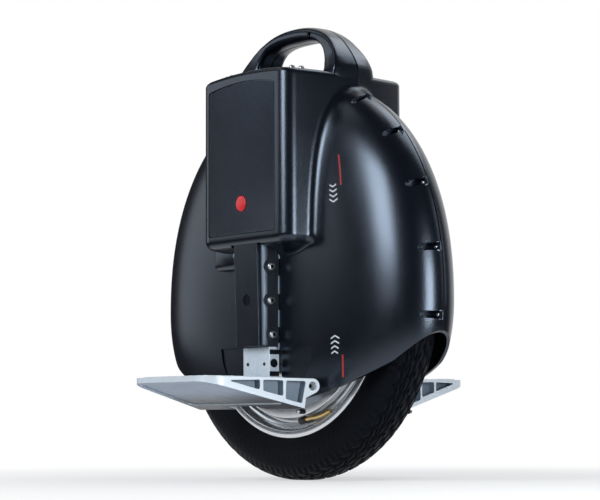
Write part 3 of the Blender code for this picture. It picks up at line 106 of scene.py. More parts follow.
# Round shell and side boxes.
SHELL_HALF_WIDTH = 0.0555
SHELL_HALF_LENGTH = 0.2299
SHELL_MIDDLE = AXLE_HEIGHT - 0.01
SHELL_RISE = 0.2513
SHELL_FALL = 0.170
SHELL_OUTLINE = 2.2
SHELL_CROWN = 4.6
SKIRT_LOW = SHELL_MIDDLE - 0.1109
SKIRT_RISE = 0.056
SKIRT_REACH = 0.216
SKIRT_LIP = 0.0125
SKIRT_LIP_HALF_WIDTH = 0.035
BLOCK_HALF_WIDTH = 0.0865
BLOCK_HALF_LENGTH = 0.0965
BLOCK_TAPER = 0.2
BLOCK_BOW = 0.5
BLOCK_TOP = SHELL_MIDDLE + SHELL_RISE + 0.0066
BLOCK_TOP_DROP = 0.0043
BLOCK_TOP_REACH = 0.075
BLOCK_EDGE = 0.0055
BLOCK_CORNER = 0.018
BLOCK_UNDERSIDE = AXLE_HEIGHT + 0.0516
BLOCK_UNDER_EDGE = 0.011
BLOCK_UNDER_SLOPE = 2.7
BLOCK_FILLET = 0.0135
BLOCK_ROOT = BLOCK_UNDERSIDE - 0.018
BLOCK_TOP_SHARES = (0.96, 0.9, 0.8, 0.65, 0.5, 0.35, 0.2, 0.08)
SEAM_GROOVE = 0.0009
# Shallow step in the case's side: its edge (y, z) behind the column, and its floor.
STEP_STOPS = ((0.081, 0.1475), (0.0775, 0.131), (0.071, 0.1185), (0.058, 0.102), (0.045, 0.078))
STEP_FLOOR = 0.0530
# Rounded boss under each side box, between two values on each axis.
BOSS_BOX = ((0.0510, 0.0665), (0.0400, 0.0815), (0.2360, 0.2640))
BOSS_ROUNDING = 0.0065

# Carry handle.
HANDLE_CENTRE = BLOCK_TOP - 0.0138
HANDLE_HALF_LENGTH = 0.0912
HANDLE_RISE = 0.0715
HANDLE_OUTLINE = 2.2
HANDLE_FLARE = 0.0064
HANDLE_FLARE_RISE = 0.034
HANDLE_FLARE_POWER = 1.4
HANDLE_START = 19
GRIP_CENTRE = BLOCK_TOP + 0.0102
GRIP_HALF_LENGTH = 0.058
GRIP_HALF_HEIGHT = 0.0296
GRIP_OUTLINE = 2.8
GRIP_START = 2
GRIP_FOOT_RADIUS = 0.008
HANDLE_HALF_WIDTH = 0.018
# Half width of the handle's outer face, its slant and the section's squareness by height above the block.
HANDLE_FACE_HEIGHTS = (-0.007, 0.007, 0.017, 0.030, 0.040)
HANDLE_FACE_HALF_WIDTHS = (0.032, 0.028, 0.024, 0.020, HANDLE_HALF_WIDTH)
HANDLE_SLANT_HEIGHTS = (0, 0.018, 0.034, 0.048)
HANDLE_SLANTS = (BLOCK_TAPER, 0.10, 0.055, 0)
HANDLE_SQUARE_HEIGHTS = (0.020, 0.048)
HANDLE_SQUARENESS = (7.5, 2.6)
HANDLE_SCREW = (-0.0335, GRIP_CENTRE + GRIP_HALF_HEIGHT + 0.0045)
HANDLE_SCREW_DEPTH = 0.005
HANDLE_SCREW_BORE = 0.0035

# Seam screws, leg pad and badge.
SEAM_SCREW_SHARES = np.array([0.889, 0.719, 0.483, 0.203, -0.124])
SEAM_SCREW_INSET = 0.0038
# Socket screws: radius and height of the head, radius and length of the shank, width of the socket.
SEAM_SCREW = (0.0022, 0.0016, 0.0012, 0.0008, 0.0014)
GRIP_SCREW = (0.003, 0.0018, 0.0014, 0.003, 0.0022)
COLUMN_BOLT = (0.0047, 0.0030, 0.0025, 0.009, 0.0042)
HINGE_SCREW = (0.0021, 0.0009, 0.001, 0.003, 0.0015)
POCKET_RADIUS = 0.0040
POCKET_DEPTH = 0.0066
POCKET_FLOOR = 0.0045
POCKET_WALL = 0.001
PAD_CENTRE = 0.0032
PAD_HALF_LENGTH = 0.059
PAD_TOP = BLOCK_TOP - 0.0118
PAD_TOP_DROP = 0.006
PAD_BOTTOM = BLOCK_UNDERSIDE + 0.0148
PAD_CORNER = 0.0035
PAD_THICKNESS = 0.0013
BADGE_RADIUS = 0.00875
BADGE_AT = (PAD_CENTRE, PAD_BOTTOM + 0.0337)

# Pedal column and hinge.
FRAME_INNER = SHELL_HALF_WIDTH + 4 * GAP / 3
FRAME_OUTER = 0.078
FRAME_HALF_LENGTH = 0.026
FRAME_BOTTOM = AXLE_HEIGHT - 0.0584
FRAME_TOP = BLOCK_UNDERSIDE + 0.0055
FRAME_BOLTS = ((0.0682, AXLE_HEIGHT + 0.0291), (0.0683, AXLE_HEIGHT - 0.0083), (0.0656, AXLE_HEIGHT - 0.0456))
# Heights of the pale bars on the frames' inner edges, and the bend above them as (x, z).
RIB_SPANS = ((0.1446, 0.1512), (0.1688, 0.1876), (0.2052, 0.2252))
RIB_BEND = ((0.0615, 0.2524), (0.0585, 0.2512), (0.0567, 0.2488), (0.0560, 0.2440))
TONGUE_INNER = 0.0478
TONGUE_OUTER = 0.0535
TONGUE_HALF_LENGTH = 0.024
TONGUE_TOP = FRAME_BOTTOM + 0.0085
NUT_SEAT = 0.070
NUT_RECESS = 0.0152
AXLE_RADIUS = 0.008
AXLE_OPENING = 0.013
COVER_HALF_LENGTH = 0.020
COVER_TOP_OUTER = 0.0832
COVER_BOTTOM_OUTER = 0.0802
PLUG_RADIUS = 0.006
PLUG_HEIGHT = AXLE_HEIGHT - 0.0069
HINGE_X = 0.0659
HINGE_Z = AXLE_HEIGHT - 0.1032
TONGUE_BOTTOM = HINGE_Z - 0.0107
HINGE_FRONT = 0.068
HINGE_TOP = FRAME_BOTTOM - 0.003
HINGE_HALF_LENGTH = 0.023
HINGE_EYE_RADIUS = 0.0082
SHAFT_RADIUS = 0.004
SHAFT_HALF_LENGTH = 0.091
PIN_AT = (HINGE_X - 0.0052, HINGE_Z + 0.0259)
PIN_RADIUS = 0.0044
PIN_HALF_LENGTH = 0.020
# Small parts on the hinge block's ends: two bars, and a screw between them as (x, z).
HINGE_BAR_SPANS = ((0.1148, 0.1200), (0.1388, 0.1439))
HINGE_BAR_OUTER = 0.0674
HINGE_SIDE_SCREW = (0.0616, 0.1292)
HINGE_FRONT_SCREW = 0.0145

# Pedals.
PEDAL_REACH = 0.190
PEDAL_HALF_WIDTH = 0.095
PEDAL_TAPER = 0.21
PEDAL_CORNER = 0.028
PEDAL_BARREL = 0.008
PEDAL_DECK_RISE = 0.002
PEDAL_TIP_THICKNESS = 0.0057
PEDAL_WEB_BACK = (HINGE_X + 0.0081, HINGE_Z - 0.0127)
PEDAL_WEB_FOOT = (HINGE_X + 0.0097, HINGE_Z - 0.024)
PEDAL_TIP_FOOT = (PEDAL_REACH - 0.005, HINGE_Z + 0.0033)
PEDAL_NOTCH_HALF_WIDTH = 0.0255
PEDAL_NOTCH_REACH = HINGE_X + 0.0221
PEDAL_EYE_RADIUS = 0.00475
PEDAL_EYE_DEPTH = 0.007
PEDAL_WINDOWS = (
    ((0.0082, 0.0050), (0.0312, 0.0056), (0.0320, -0.0138), (0.0128, -0.0186)),
    ((0.0348, 0.0058), (0.0580, 0.0063), (0.0580, -0.0052), (0.0348, -0.0110)),
    ((0.0618, 0.0063), (0.0985, 0.0056), (0.0618, -0.0042)),
)
WINDOW_DEPTH = 0.009
WINDOW_CORNER = 0.0020
WINDOW_POINT = 0.0006
UNDER_START = PEDAL_NOTCH_REACH + 0.006
UNDER_MARGIN = 0.0065
UNDER_CORNER = 0.008
UNDER_DEPTH = 0.0015
GRIP_PAD_START = PEDAL_NOTCH_REACH + 0.005
GRIP_PAD_MARGIN = 0.007
GRIP_PAD_SINK = 0.0008
GRIP_PAD_RISE = 0.0010
BUMPER_AT = (-0.0885, 0.0755)
PEDAL_BODIES = ("left_pedal", "right_pedal")

# Power button, charge socket and screws on top of the side boxes.
TOP_ITEM_X = 0.030
BUTTON_RADIUS = 0.007
SOCKET_RADIUS = 0.009
LID_HINGE_Y = 0.0125
# Screws on the side box: x, y and height of the head.
BOX_SCREWS = (
    (0.0690, -0.0655, 0.0032),
    (0.0600, -0.0705, 0.0032),
    (0.0700, 0.0395, 0.0042),
    (0.0700, 0.0485, 0.0042),
)

# Stripes from one (plan angle, height) to another, and rows of arrow marks with the way they point.
STRIPES = (((21.66, 0.3515), (21.9, 0.3175)), ((22.1, 0.1355), (21.5, 0.1115)))
MARK_ROWS = ((24.5, 0.3165, -1), (24.55, 0.1395, 1))
MARKS_IN_ROW = 4
MARK_STEP = 0.0055
MARK_ARM = 0.0024
MARK_GROWTH = 0.0002
MARK_WIDTH = 0.0016
MARK_LIFTS = (0.0002, -0.0003)

# Lamps: turn from +X and rise in degrees, width, height, brightness and distance.
LAMPS = (
    ("Left strip", 177.5, 22, 0.68, 1.05, 9.5, 2.0),
    ("Front strip", 257.8, -3.4, 0.32, 0.44, 10.5, 0.97),
    ("Front right softbox", 311, 15, 0.6, 1.2, 1.0, 2.0),
    ("High left panel", 126, 54, 1.2, 0.9, 0.6, 2.0),
    ("Side panel", 133, 15, 0.60, 0.7, 1.1, 2.0),
    ("Rear left softbox", 113, 11, 0.80, 1.1, 0.95, 2.0),
    ("Top softbox", 345, 58, 1.3, 1.3, 2.0, 2.0),
)
LAMP_TARGET = 0.28
LAMP_COLOUR = (0.90, 0.955, 1.0)
BACKGROUND_TURN = 23
FLOOR_SIZE = 30.0
STUDIO_GREY = (0.035, 0.035, 0.04, 1.0)
STUDIO_LIGHT = (0.34, 0.36, 0.38, 1.0)
WHITE = (1.0, 1.0, 1.0, 1.0)
COOL = (0.70, 0.82, 1.0)

# Camera at the photograph's place: azimuth, elevation and roll in degrees, then metres.
CAMERA_ANGLES = (-39.6385, -4.9993, -0.2062)
CAMERA_HEIGHT = 0.2587
CAMERA_SHIFT = 0.0034
CAMERA_DISTANCE = 2.2662
CAMERA_FOCUS = 2000.0753 / 600
SENSOR_WIDTH = 36.0


def length(label, text, metres):
    """A length that the sidebar shows."""
    return FloatProperty(name=label, description=text, default=metres, unit="LENGTH")


def paint(label, text, *channels):
    """A colour that the sidebar shows."""
    return FloatVectorProperty(name=label, description=text, default=channels, subtype="COLOR", min=0, max=1)


class UnicycleSizes(bpy.types.PropertyGroup):
    """Sizes of the fine detail."""

    wall: length("Case wall", "Thickness of the moulded case", 0.003)
    hatch: length("Pad hatch", "Distance between the slanting ribs of the leg pads", 0.0019)
    groove_depth: length("Groove depth", "Depth of the long grooves in the tread", 0.002)
    cut_depth: length("Cut depth", "Depth of the slanting cuts in the tread", 0.0016)
    tread_pitches: IntProperty(
        name="Tread pitches", description="Repeats of the tread pattern round the tyre", default=64, min=20
    )
    stud_spacing: length("Stud spacing", "Distance between the studs of the pedal grips", 0.0125)
    stud_height: length("Stud height", "Height of the studs above the grip plate", 0.0005)
    stripe: length("Stripe width", "Width of the red stripes", 0.0011)


class UnicycleColours(bpy.types.PropertyGroup):
    """Colours of the finishes."""

    plastic: paint("Case", "Moulded case", 0.0011, 0.0016, 0.0040)
    pad: paint("Leg pads", "Ribbed leg pads", 0.0130, 0.0180, 0.0290)
    badge: paint("Badge", "Round badges", 0.52, 0.012, 0.018)
    stripe: paint("Stripes", "Printed stripes", 0.33, 0.012, 0.014)
    mark: paint("Arrow marks", "Printed arrow marks", 0.55, 0.57, 0.60)
    aluminium: paint("Aluminium", "Cast aluminium of the pedals", 0.60, 0.65, 0.70)
    underside: paint("Pedal underside", "Floor of the pedals' underside", 0.24, 0.31, 0.42)
    dark_metal: paint("Frame", "Dark coated frames", 0.0012, 0.0014, 0.0024)
    steel: paint("Steel", "Screws, pins and the axle", 0.56, 0.57, 0.58)
    brass: paint("Brass", "Valve stem", 0.78, 0.55, 0.24)
    rubber: paint("Rubber", "Tyre and rubber trim", 0.0022, 0.0026, 0.0040)


def sizes():
    """The sizes that the sidebar shows."""
    return bpy.context.scene.unicycle_sizes


def colour(name):
    """One of the sidebar's colours as a plain triple."""
    return tuple(getattr(bpy.context.scene.unicycle_colours, name))


# Meshes from arrays.


def quads(rows, columns, close_rows=False, close_columns=False):
    """Corner numbers of the faces of a grid stored row by row, joined end to end where closed."""
    row = np.arange(rows if close_rows else rows - 1)[:, None]
    column = np.arange(columns if close_columns else columns - 1)[None, :]
    next_row, next_column = (row + 1) % rows, (column + 1) % columns
    corners = [row * columns + column, row * columns + next_column]
    corners += [next_row * columns + next_column, next_row * columns + column]
    return np.stack(corners, -1).reshape(-1, 4)


def ring_faces(rings, sides):
    """Faces between closed rings, with a cap at each end."""
    last = (rings - 1) * sides
    return [quads(rings, sides, False, True), [list(range(sides)), list(range(last, last + sides))]]


def unit(vectors):
    """Vectors along the last axis at length 1; a zero vector stays zero."""
    return vectors / np.maximum(np.linalg.norm(vectors, axis=-1, keepdims=True), 1e-9)


def mesh_of(points, faces, edge=None, merge=1e-7):
    """A closed mesh from points and faces, with faces outward and the edge values as an attribute."""
    mesh = bpy.data.meshes.new("piece")
    blocks = [block.tolist() if isinstance(block, np.ndarray) else block for block in faces]
    rows = [face for block in blocks for face in block]
    mesh.from_pydata(np.asarray(points, float).reshape(-1, 3).tolist(), [], rows)
    if edge is not None:
        values = mesh.attributes.new("edge", "FLOAT", "POINT").data
        values.foreach_set("value", np.ravel(edge).astype(np.float32))
    shape = bmesh.new()
    shape.from_mesh(mesh)
    bmesh.ops.remove_doubles(shape, verts=shape.verts, dist=merge)
    bmesh.ops.dissolve_degenerate(shape, edges=shape.edges, dist=merge)
    bmesh.ops.recalc_face_normals(shape, faces=shape.faces)
    shape.to_mesh(mesh)
    shape.free()
    return mesh


def joined(*meshes):
    """Several meshes as one."""
    shape = bmesh.new()
    for mesh in meshes:
        shape.from_mesh(mesh)
        bpy.data.meshes.remove(mesh)
    result = bpy.data.meshes.new("piece")
    shape.to_mesh(result)
    shape.free()
    return result


def carved(first, second, operation="DIFFERENCE"):
    """Boolean of two meshes, which are used up."""
    holders = [bpy.data.objects.new("holder", mesh) for mesh in (first, second)]
    for holder in holders:
        bpy.context.scene.collection.objects.link(holder)
    modifier = holders[0].modifiers.new("cut", "BOOLEAN")
    modifier.solver = "EXACT"
    modifier.operation = operation
    modifier.object = holders[1]
    bpy.context.view_layer.update()
    evaluated = holders[0].evaluated_get(bpy.context.evaluated_depsgraph_get())
    result = bpy.data.meshes.new_from_object(evaluated)
    for holder in holders:
        bpy.data.objects.remove(holder, do_unlink=True)
    for mesh in (first, second):
        bpy.data.meshes.remove(mesh)
    return result


def mirrored(mesh):
    """A copy on the other side of the middle plane, with its faces turned back outward."""
    copy = mesh.copy()
    copy.transform(Matrix.Scale(-1, 4, (1, 0, 0)))
    copy.flip_normals()
    return copy


def shifted(mesh, offset):
    """The mesh moved by an offset."""
    mesh.transform(Matrix.Translation(offset))
    return mesh


def place(name, mesh, look, slot, body, nodes=(), sharp=32, bevel=0.0):
    """Put a finished mesh in the scene as a piece on a body, standing for the named nodes."""
    mesh.name = name
    mesh.materials.clear()
    for one in look if isinstance(look, (list, tuple)) else (look,):
        mesh.materials.append(bpy.data.materials[one])
    mesh.polygons.foreach_set("use_smooth", [True] * len(mesh.polygons))
    mesh.set_sharp_from_angle(angle=math.radians(sharp))
    piece = bpy.data.objects.new(name, mesh)
    bpy.context.scene.collection.objects.link(piece)
    if bevel:
        rounding = piece.modifiers.new("edges", "BEVEL")
        rounding.width = bevel
        rounding.segments = 2
        rounding.limit_method = "ANGLE"
        rounding.angle_limit = math.radians(40)
    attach(piece, body)
    if nodes:
        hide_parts(*nodes)
    return piece


def place_pair(name, mesh, look, slot, bodies=("case", "case"), replaced=(), **options):
    """A side piece as worked out on the left, and mirrored on the right."""
    pieces = []
    for side, half, body in zip(SIDES, (mesh, mirrored(mesh)), bodies):
        nodes = [f"{one}_{side}" for one in replaced]
        pieces.append(place(f"{name}_{side}", half, look, slot, body, nodes, **options))
    return pieces


AXES = {"X": (0, 1, 2), "Y": (1, 0, 2), "Z": (2, 0, 1)}


def on_axis(axis, along, first, second):
    """Points from a distance along an axis and the two other coordinates in their order."""
    points = np.empty(np.broadcast(along, first, second).shape + (3,))
    for place_in, value in zip(AXES[axis], (along, first, second)):
        points[..., place_in] = value
    return points


def lathe(profile, axis, centre, sides=48, loop=False, shape=None):
    """Profile of (distance along the axis, radius) turned about an axis through a centre.

    At turn t a point is (along, radius * cos t, radius * sin t); the radius may be scaled by a
    function of its row number and t, which makes hexagon sockets. Open profiles are capped.
    """
    profile = np.asarray(profile, float)
    turn = np.linspace(0, 2 * np.pi, sides, endpoint=False)[None, :]
    radius = np.repeat(profile[:, 1:], sides, 1)
    if shape is not None:
        radius = shape(np.arange(len(profile))[:, None], radius, turn)
    along = np.repeat(profile[:, :1], sides, 1)
    points = on_axis(axis, along, centre[0] + radius * np.cos(turn), centre[1] + radius * np.sin(turn))
    faces = [quads(len(profile), sides, True, True)] if loop else ring_faces(len(profile), sides)
    bend = np.zeros(len(profile))
    step = unit(np.diff(profile, axis=0))
    bend[1:-1] = np.clip(1 - (step[1:] * step[:-1]).sum(1), 0, 1) * 3
    return mesh_of(points, faces, np.repeat(np.clip(bend, 0, 1)[:, None], sides, 1))


def stepped(start, side, steps):
    """Lathe profile of distances from a start toward one side, each with its radius."""
    return [(start + side * along, radius) for along, radius in steps]


def circle(centre, radius, turn):
    """Points of a circle at the given turns."""
    return np.stack([centre[0] + radius * np.cos(turn), centre[1] + radius * np.sin(turn)], 1)


def outline_of(corners, radii, steps=6, guard=0.0):
    """Closed outline with each corner replaced by an arc of its radius; a zero radius keeps it.

    A guard puts one more point on each straight run, that far before and after the corner's arc.
    """
    corners = np.asarray(corners, float)
    radii = np.broadcast_to(radii, len(corners))
    points = []
    for here, before, after, radius in zip(corners, np.roll(corners, 1, 0), np.roll(corners, -1, 0), radii):
        to_before = (before - here) / np.linalg.norm(before - here)
        to_after = (after - here) / np.linalg.norm(after - here)
        half = math.acos(np.clip(to_before @ to_after, -1, 1)) / 2
        if radius <= 0 or half > 1.56:
            points.append(here[None, :])
            continue
        reach = radius / math.tan(half)
        if guard:
            points.append((here + to_before * (reach + guard))[None, :])
        middle = to_before + to_after
        centre = here + middle / np.linalg.norm(middle) * radius / math.sin(half)
        start, end = (here + way * reach - centre for way in (to_before, to_after))
        first = math.atan2(start[1], start[0])
        turn = (math.atan2(end[1], end[0]) - first + math.pi) % (2 * math.pi) - math.pi
        angle = first + turn * np.linspace(0, 1, steps + 1)
        points.append(circle(centre, radius, angle))
        if guard:
            points.append((here + to_after * (reach + guard))[None, :])
    return np.concatenate(points)


def slab(outline, axis, low, high, round_low=0.0, round_high=0.0, steps=3, inner=0.0):
    """Outline carried from one end to the other, drawn in along a quarter circle at each end.

    At angle b of the quarter circle the outline is drawn in by r * (1 - sin b) along its own
    normal and lies r * (1 - cos b) inside the end. The ends are numbers or arrays over the outline.
    An inner width puts one more ring on each end face, where the worn edge ends.
    """
    outline = np.asarray(outline, float)
    forward = unit(np.roll(outline, -1, 0) - outline)
    backward = np.roll(forward, 1, 0)
    mean = unit(forward + backward)
    area = (outline[:, 0] * np.roll(outline[:, 1], -1) - np.roll(outline[:, 0], -1) * outline[:, 1]).sum()
    outward = np.stack([mean[:, 1], -mean[:, 0]], 1) * (1 if area > 0 else -1)
    miter = 1 / np.clip((mean * forward).sum(1), 0.5, 1)
    turning = np.clip(np.arccos(np.clip((forward * backward).sum(1), -1, 1)) / math.radians(10), 0, 1)
    low = np.broadcast_to(low, len(outline)).astype(float)
    high = np.broadcast_to(high, len(outline)).astype(float)
    rings, levels, edges = [], [], []
    angle = np.linspace(0, np.pi / 2, steps + 1)
    ends = ((low, round_low, 1, angle), (high, round_high, -1, angle[::-1]))
    for end, radius, sign, angles in ends:
        for b in angles if radius > 0 else (np.pi / 2,):
            rings.append(outline - outward * (miter * radius * (1 - math.sin(b)))[:, None])
            levels.append(end + sign * radius * (1 - math.cos(b)))
            edges.append(np.maximum(turning, math.sin(2 * b)) if radius > 0 else turning)
    if inner:
        for at, end, radius in ((0, low, round_low), (len(rings) + 1, high, round_high)):
            rings.insert(at, outline - outward * (miter * (radius + inner))[:, None])
            levels.insert(at, end)
            edges.insert(at, np.zeros(len(outline)))
    rings, levels = np.array(rings), np.array(levels)
    points = on_axis(axis, levels, rings[..., 0], rings[..., 1])
    return mesh_of(points, ring_faces(len(rings), len(outline)), np.array(edges))


def box(x, y, z, radius=0.0, corner=0.0, inner=0.0):
    """A block between two values on each axis; its upright edges are rounded by the corner radius."""
    corners = [(x[0], y[0]), (x[1], y[0]), (x[1], y[1]), (x[0], y[1])]
    outline = outline_of(corners, corner, 5, inner) if np.any(corner) else corners
    return slab(outline, "Z", z[0], z[1], radius, radius, inner=inner)


def rod(axis, centre, radius, low, high, sides=40, ends=0.0):
    """A round bar along one axis, its ends rounded by a radius."""
    turn = np.linspace(0, 2 * np.pi, sides, endpoint=False)
    return slab(circle(centre, radius, turn), axis, low, high, ends, ends, 2)


def tube(path, radii, sides=20):
    """Circle carried along a path that lies near one plane, with its own radius at each point.

    The circle stands square to the path's direction, found by differences, and to the X axis.
    """
    path, radii = np.asarray(path, float), np.asarray(radii, float)
    ahead = unit(np.gradient(path, axis=0))
    across = unit(np.cross(ahead, (1.0, 0.0, 0.0)))
    side = np.cross(ahead, across)
    turn = np.linspace(0, 2 * np.pi, sides, endpoint=False)
    ring = np.cos(turn)[None, :, None] * across[:, None, :] + np.sin(turn)[None, :, None] * side[:, None, :]
    return mesh_of(path[:, None, :] + radii[:, None, None] * ring, ring_faces(len(path), sides))


def curve_through(stops, steps):
    """Catmull-Rom curve through the stops, as an array of points."""
    stops = np.asarray(stops, float)
    ends = np.vstack([2 * stops[0] - stops[1], stops, 2 * stops[-1] - stops[-2]])
    a, b, c, d = (ends[k : k + len(stops) - 1, None, :] for k in range(4))
    t = (np.arange(steps) / steps)[None, :, None]
    spots = (2 * b + (c - a) * t + (2 * a - 5 * b + 4 * c - d) * t**2 + (3 * b - a - 3 * c + d) * t**3) / 2
    return np.vstack([spots.reshape(-1, stops.shape[1]), stops[-1:]])


def hexagon(across_flats, rows):
    """Shape function for a lathe whose given rows become a hexagon."""

    def shape(row, radius, turn):
        flat = (turn + np.pi / 6) % (np.pi / 3) - np.pi / 6
        return np.where(np.isin(row, rows), across_flats / 2 / np.cos(flat) * np.ones_like(radius), radius)

    return shape


def socket_bolt(axis, centre, seat, side, radius, height, shank, length, key):
    """Button-head bolt: domed head of a circle's arc, hexagon socket, and its shank below the seat."""
    profile = stepped(seat, -side, ((length, 0.0005), (length, shank - 0.0003), (length - 0.0004, shank)))
    profile += [(seat, shank), (seat, radius)]
    for lean in np.linspace(0.25, 1, 6) * math.pi / 2:
        profile.append((seat + side * height * math.sin(lean), radius * (0.62 + 0.38 * math.cos(lean))))
    profile += stepped(seat, side * height, ((1, key * 0.58), (0.4, key * 0.5), (0.35, 0.0003)))
    rows = (len(profile) - 3, len(profile) - 2)
    return lathe(profile, axis, centre, 36, shape=hexagon(key, rows))


# Materials.


def node(tree, kind, feeds=None, **settings):
    """Add a node, set its options, and feed its sockets with values or other sockets."""
    made = tree.nodes.new(kind)
    for key, value in settings.items():
        setattr(made, key, value)
    for key, value in (feeds or {}).items():
        if isinstance(value, bpy.types.NodeSocket):
            tree.links.new(value, made.inputs[key])
        else:
            made.inputs[key].default_value = value
    return made


def maths(tree, operation, first, second=0.0, clamp=False):
    """Output of a Math node."""
    made = node(tree, "ShaderNodeMath", {0: first, 1: second}, operation=operation, use_clamp=clamp)
    return made.outputs[0]


def vectors(tree, operation, first, second=(0, 0, 0)):
    """Output of a Vector Math node, which is a number for a length or a dot product."""
    label = "Value" if operation in ("LENGTH", "DOT_PRODUCT") else "Vector"
    return node(tree, "ShaderNodeVectorMath", {0: first, 1: second}, operation=operation).outputs[label]


def split(tree, vector):
    """The three parts of a vector."""
    return node(tree, "ShaderNodeSeparateXYZ", {0: vector}).outputs


def hypotenuse(tree, first, second):
    """Square root of the sum of two squares."""
    squares = [maths(tree, "POWER", part, 2.0) for part in (first, second)]
    return maths(tree, "SQRT", maths(tree, "ADD", *squares))


def ranged(tree, value, low, high, out_low=0.0, out_high=1.0, smooth=False):
    """Output of a Map Range node."""
    feeds = {"Value": value, "From Min": low, "From Max": high, "To Min": out_low, "To Max": out_high}
    kind = "SMOOTHSTEP" if smooth else "LINEAR"
    return node(tree, "ShaderNodeMapRange", feeds, interpolation_type=kind).outputs[0]


def noise(tree, vector, scale, detail=2.0, roughness=0.5):
    """Factor of a Noise Texture."""
    feeds = {"Vector": vector, "Scale": scale, "Detail": detail, "Roughness": roughness}
    return node(tree, "ShaderNodeTexNoise", feeds).outputs["Fac"]


def mixed(tree, factor, first, second):
    """Colour output of a Mix node, whose colours are its inputs 6 and 7."""
    return node(tree, "ShaderNodeMix", {0: factor, 6: first, 7: second}, data_type="RGBA").outputs[2]


def rgba(triple, gain=1.0):
    """A colour with its alpha, brighter or darker by a gain."""
    return (*(min(channel * gain, 1.0) for channel in triple), 1.0)


def new_group(name, inputs, outputs):
    """An empty shader node group that takes a vector and named values, with its sockets."""
    tree = bpy.data.node_groups.new(name, "ShaderNodeTree")
    for label, value in {"Vector": (0, 0, 0), **inputs}.items():
        kind = "NodeSocketVector" if isinstance(value, tuple) else "NodeSocketFloat"
        tree.interface.new_socket(label, in_out="INPUT", socket_type=kind).default_value = value
    for label in outputs:
        tree.interface.new_socket(label, in_out="OUTPUT", socket_type="NodeSocketFloat")
    return tree, tree.nodes.new("NodeGroupInput").outputs, tree.nodes.new("NodeGroupOutput").inputs


def build_groups():
    """Shader node groups that several finishes share."""
    tree, given, out = new_group("Moulded grain", {"Size": 0.0008}, ["Height", "Tone", "Spread"])
    spot = given["Vector"]
    fine = maths(tree, "DIVIDE", 1.0, given["Size"])
    pebbles = node(tree, "ShaderNodeTexVoronoi", {"Vector": spot, "Scale": fine}, feature="SMOOTH_F1")
    pebbles = maths(tree, "MULTIPLY", pebbles.outputs["Distance"], 0.5)
    dots = maths(tree, "MULTIPLY", noise(tree, spot, fine, 3.0, 0.6), 0.6)
    tree.links.new(maths(tree, "ADD", dots, pebbles), out["Height"])
    tree.links.new(ranged(tree, noise(tree, spot, 14.0, 3.0), 0.3, 0.7), out["Tone"])
    tree.links.new(ranged(tree, noise(tree, spot, 55.0, 4.0, 0.65), 0.3, 0.7), out["Spread"])

    tree, given, out = new_group("Edge wear", {"Edge": 0.0, "Amount": 0.5}, ["Mask"])
    patches = ranged(tree, noise(tree, given["Vector"], 220.0, 4.0, 0.7), 0.42, 0.62, 0.25, 1.0, True)
    rubbed = maths(tree, "MULTIPLY", ranged(tree, given["Edge"], 0.35, 0.95, smooth=True), patches)
    tree.links.new(maths(tree, "MULTIPLY", rubbed, given["Amount"], True), out["Mask"])

    tree, given, out = new_group("Settled dust", {"Amount": 0.1}, ["Mask"])
    upward = split(tree, node(tree, "ShaderNodeNewGeometry").outputs["Normal"])["Z"]
    clouds = ranged(tree, noise(tree, given["Vector"], 38.0, 5.0, 0.7), 0.4, 0.75, 0.1, 1.0, True)
    specks = ranged(tree, noise(tree, given["Vector"], 900.0, 2.0), 0.55, 0.7, 0.4, 1.0, True)
    spread = maths(tree, "MULTIPLY", clouds, specks)
    laid = maths(tree, "MULTIPLY", ranged(tree, upward, -0.2, 1.0, 0.12, 1.0), spread)
    tree.links.new(maths(tree, "MULTIPLY", laid, given["Amount"], True), out["Mask"])

    tree, given, out = new_group("Turned lines", {"Centre": (0, 0, 0), "Pitch": 0.0004}, ["Height", "Spread"])
    x, y, z = split(tree, vectors(tree, "SUBTRACT", given["Vector"], given["Centre"]))
    radial = {"X": maths(tree, "MULTIPLY", x, 0.4), "Y": hypotenuse(tree, y, z)}
    radial = node(tree, "ShaderNodeCombineXYZ", radial).outputs[0]
    lines = noise(tree, radial, maths(tree, "DIVIDE", 1.0, given["Pitch"]), 2.0, 0.6)
    tree.links.new(lines, out["Height"])
    tree.links.new(ranged(tree, lines, 0.3, 0.7), out["Spread"])

    tree, given, out = new_group("Brushed lines", {"Stretch": (1, 1, 1)}, ["Height", "Spread"])
    lines = noise(tree, vectors(tree, "MULTIPLY", given["Vector"], given["Stretch"]), 1.0, 3.0, 0.6)
    tree.links.new(lines, out["Height"])
    tree.links.new(ranged(tree, lines, 0.3, 0.7), out["Spread"])


def grouped(tree, name, feeds):
    """Outputs of a node that holds one of the shared groups."""
    return node(tree, "ShaderNodeGroup", feeds, node_tree=bpy.data.node_groups[name]).outputs


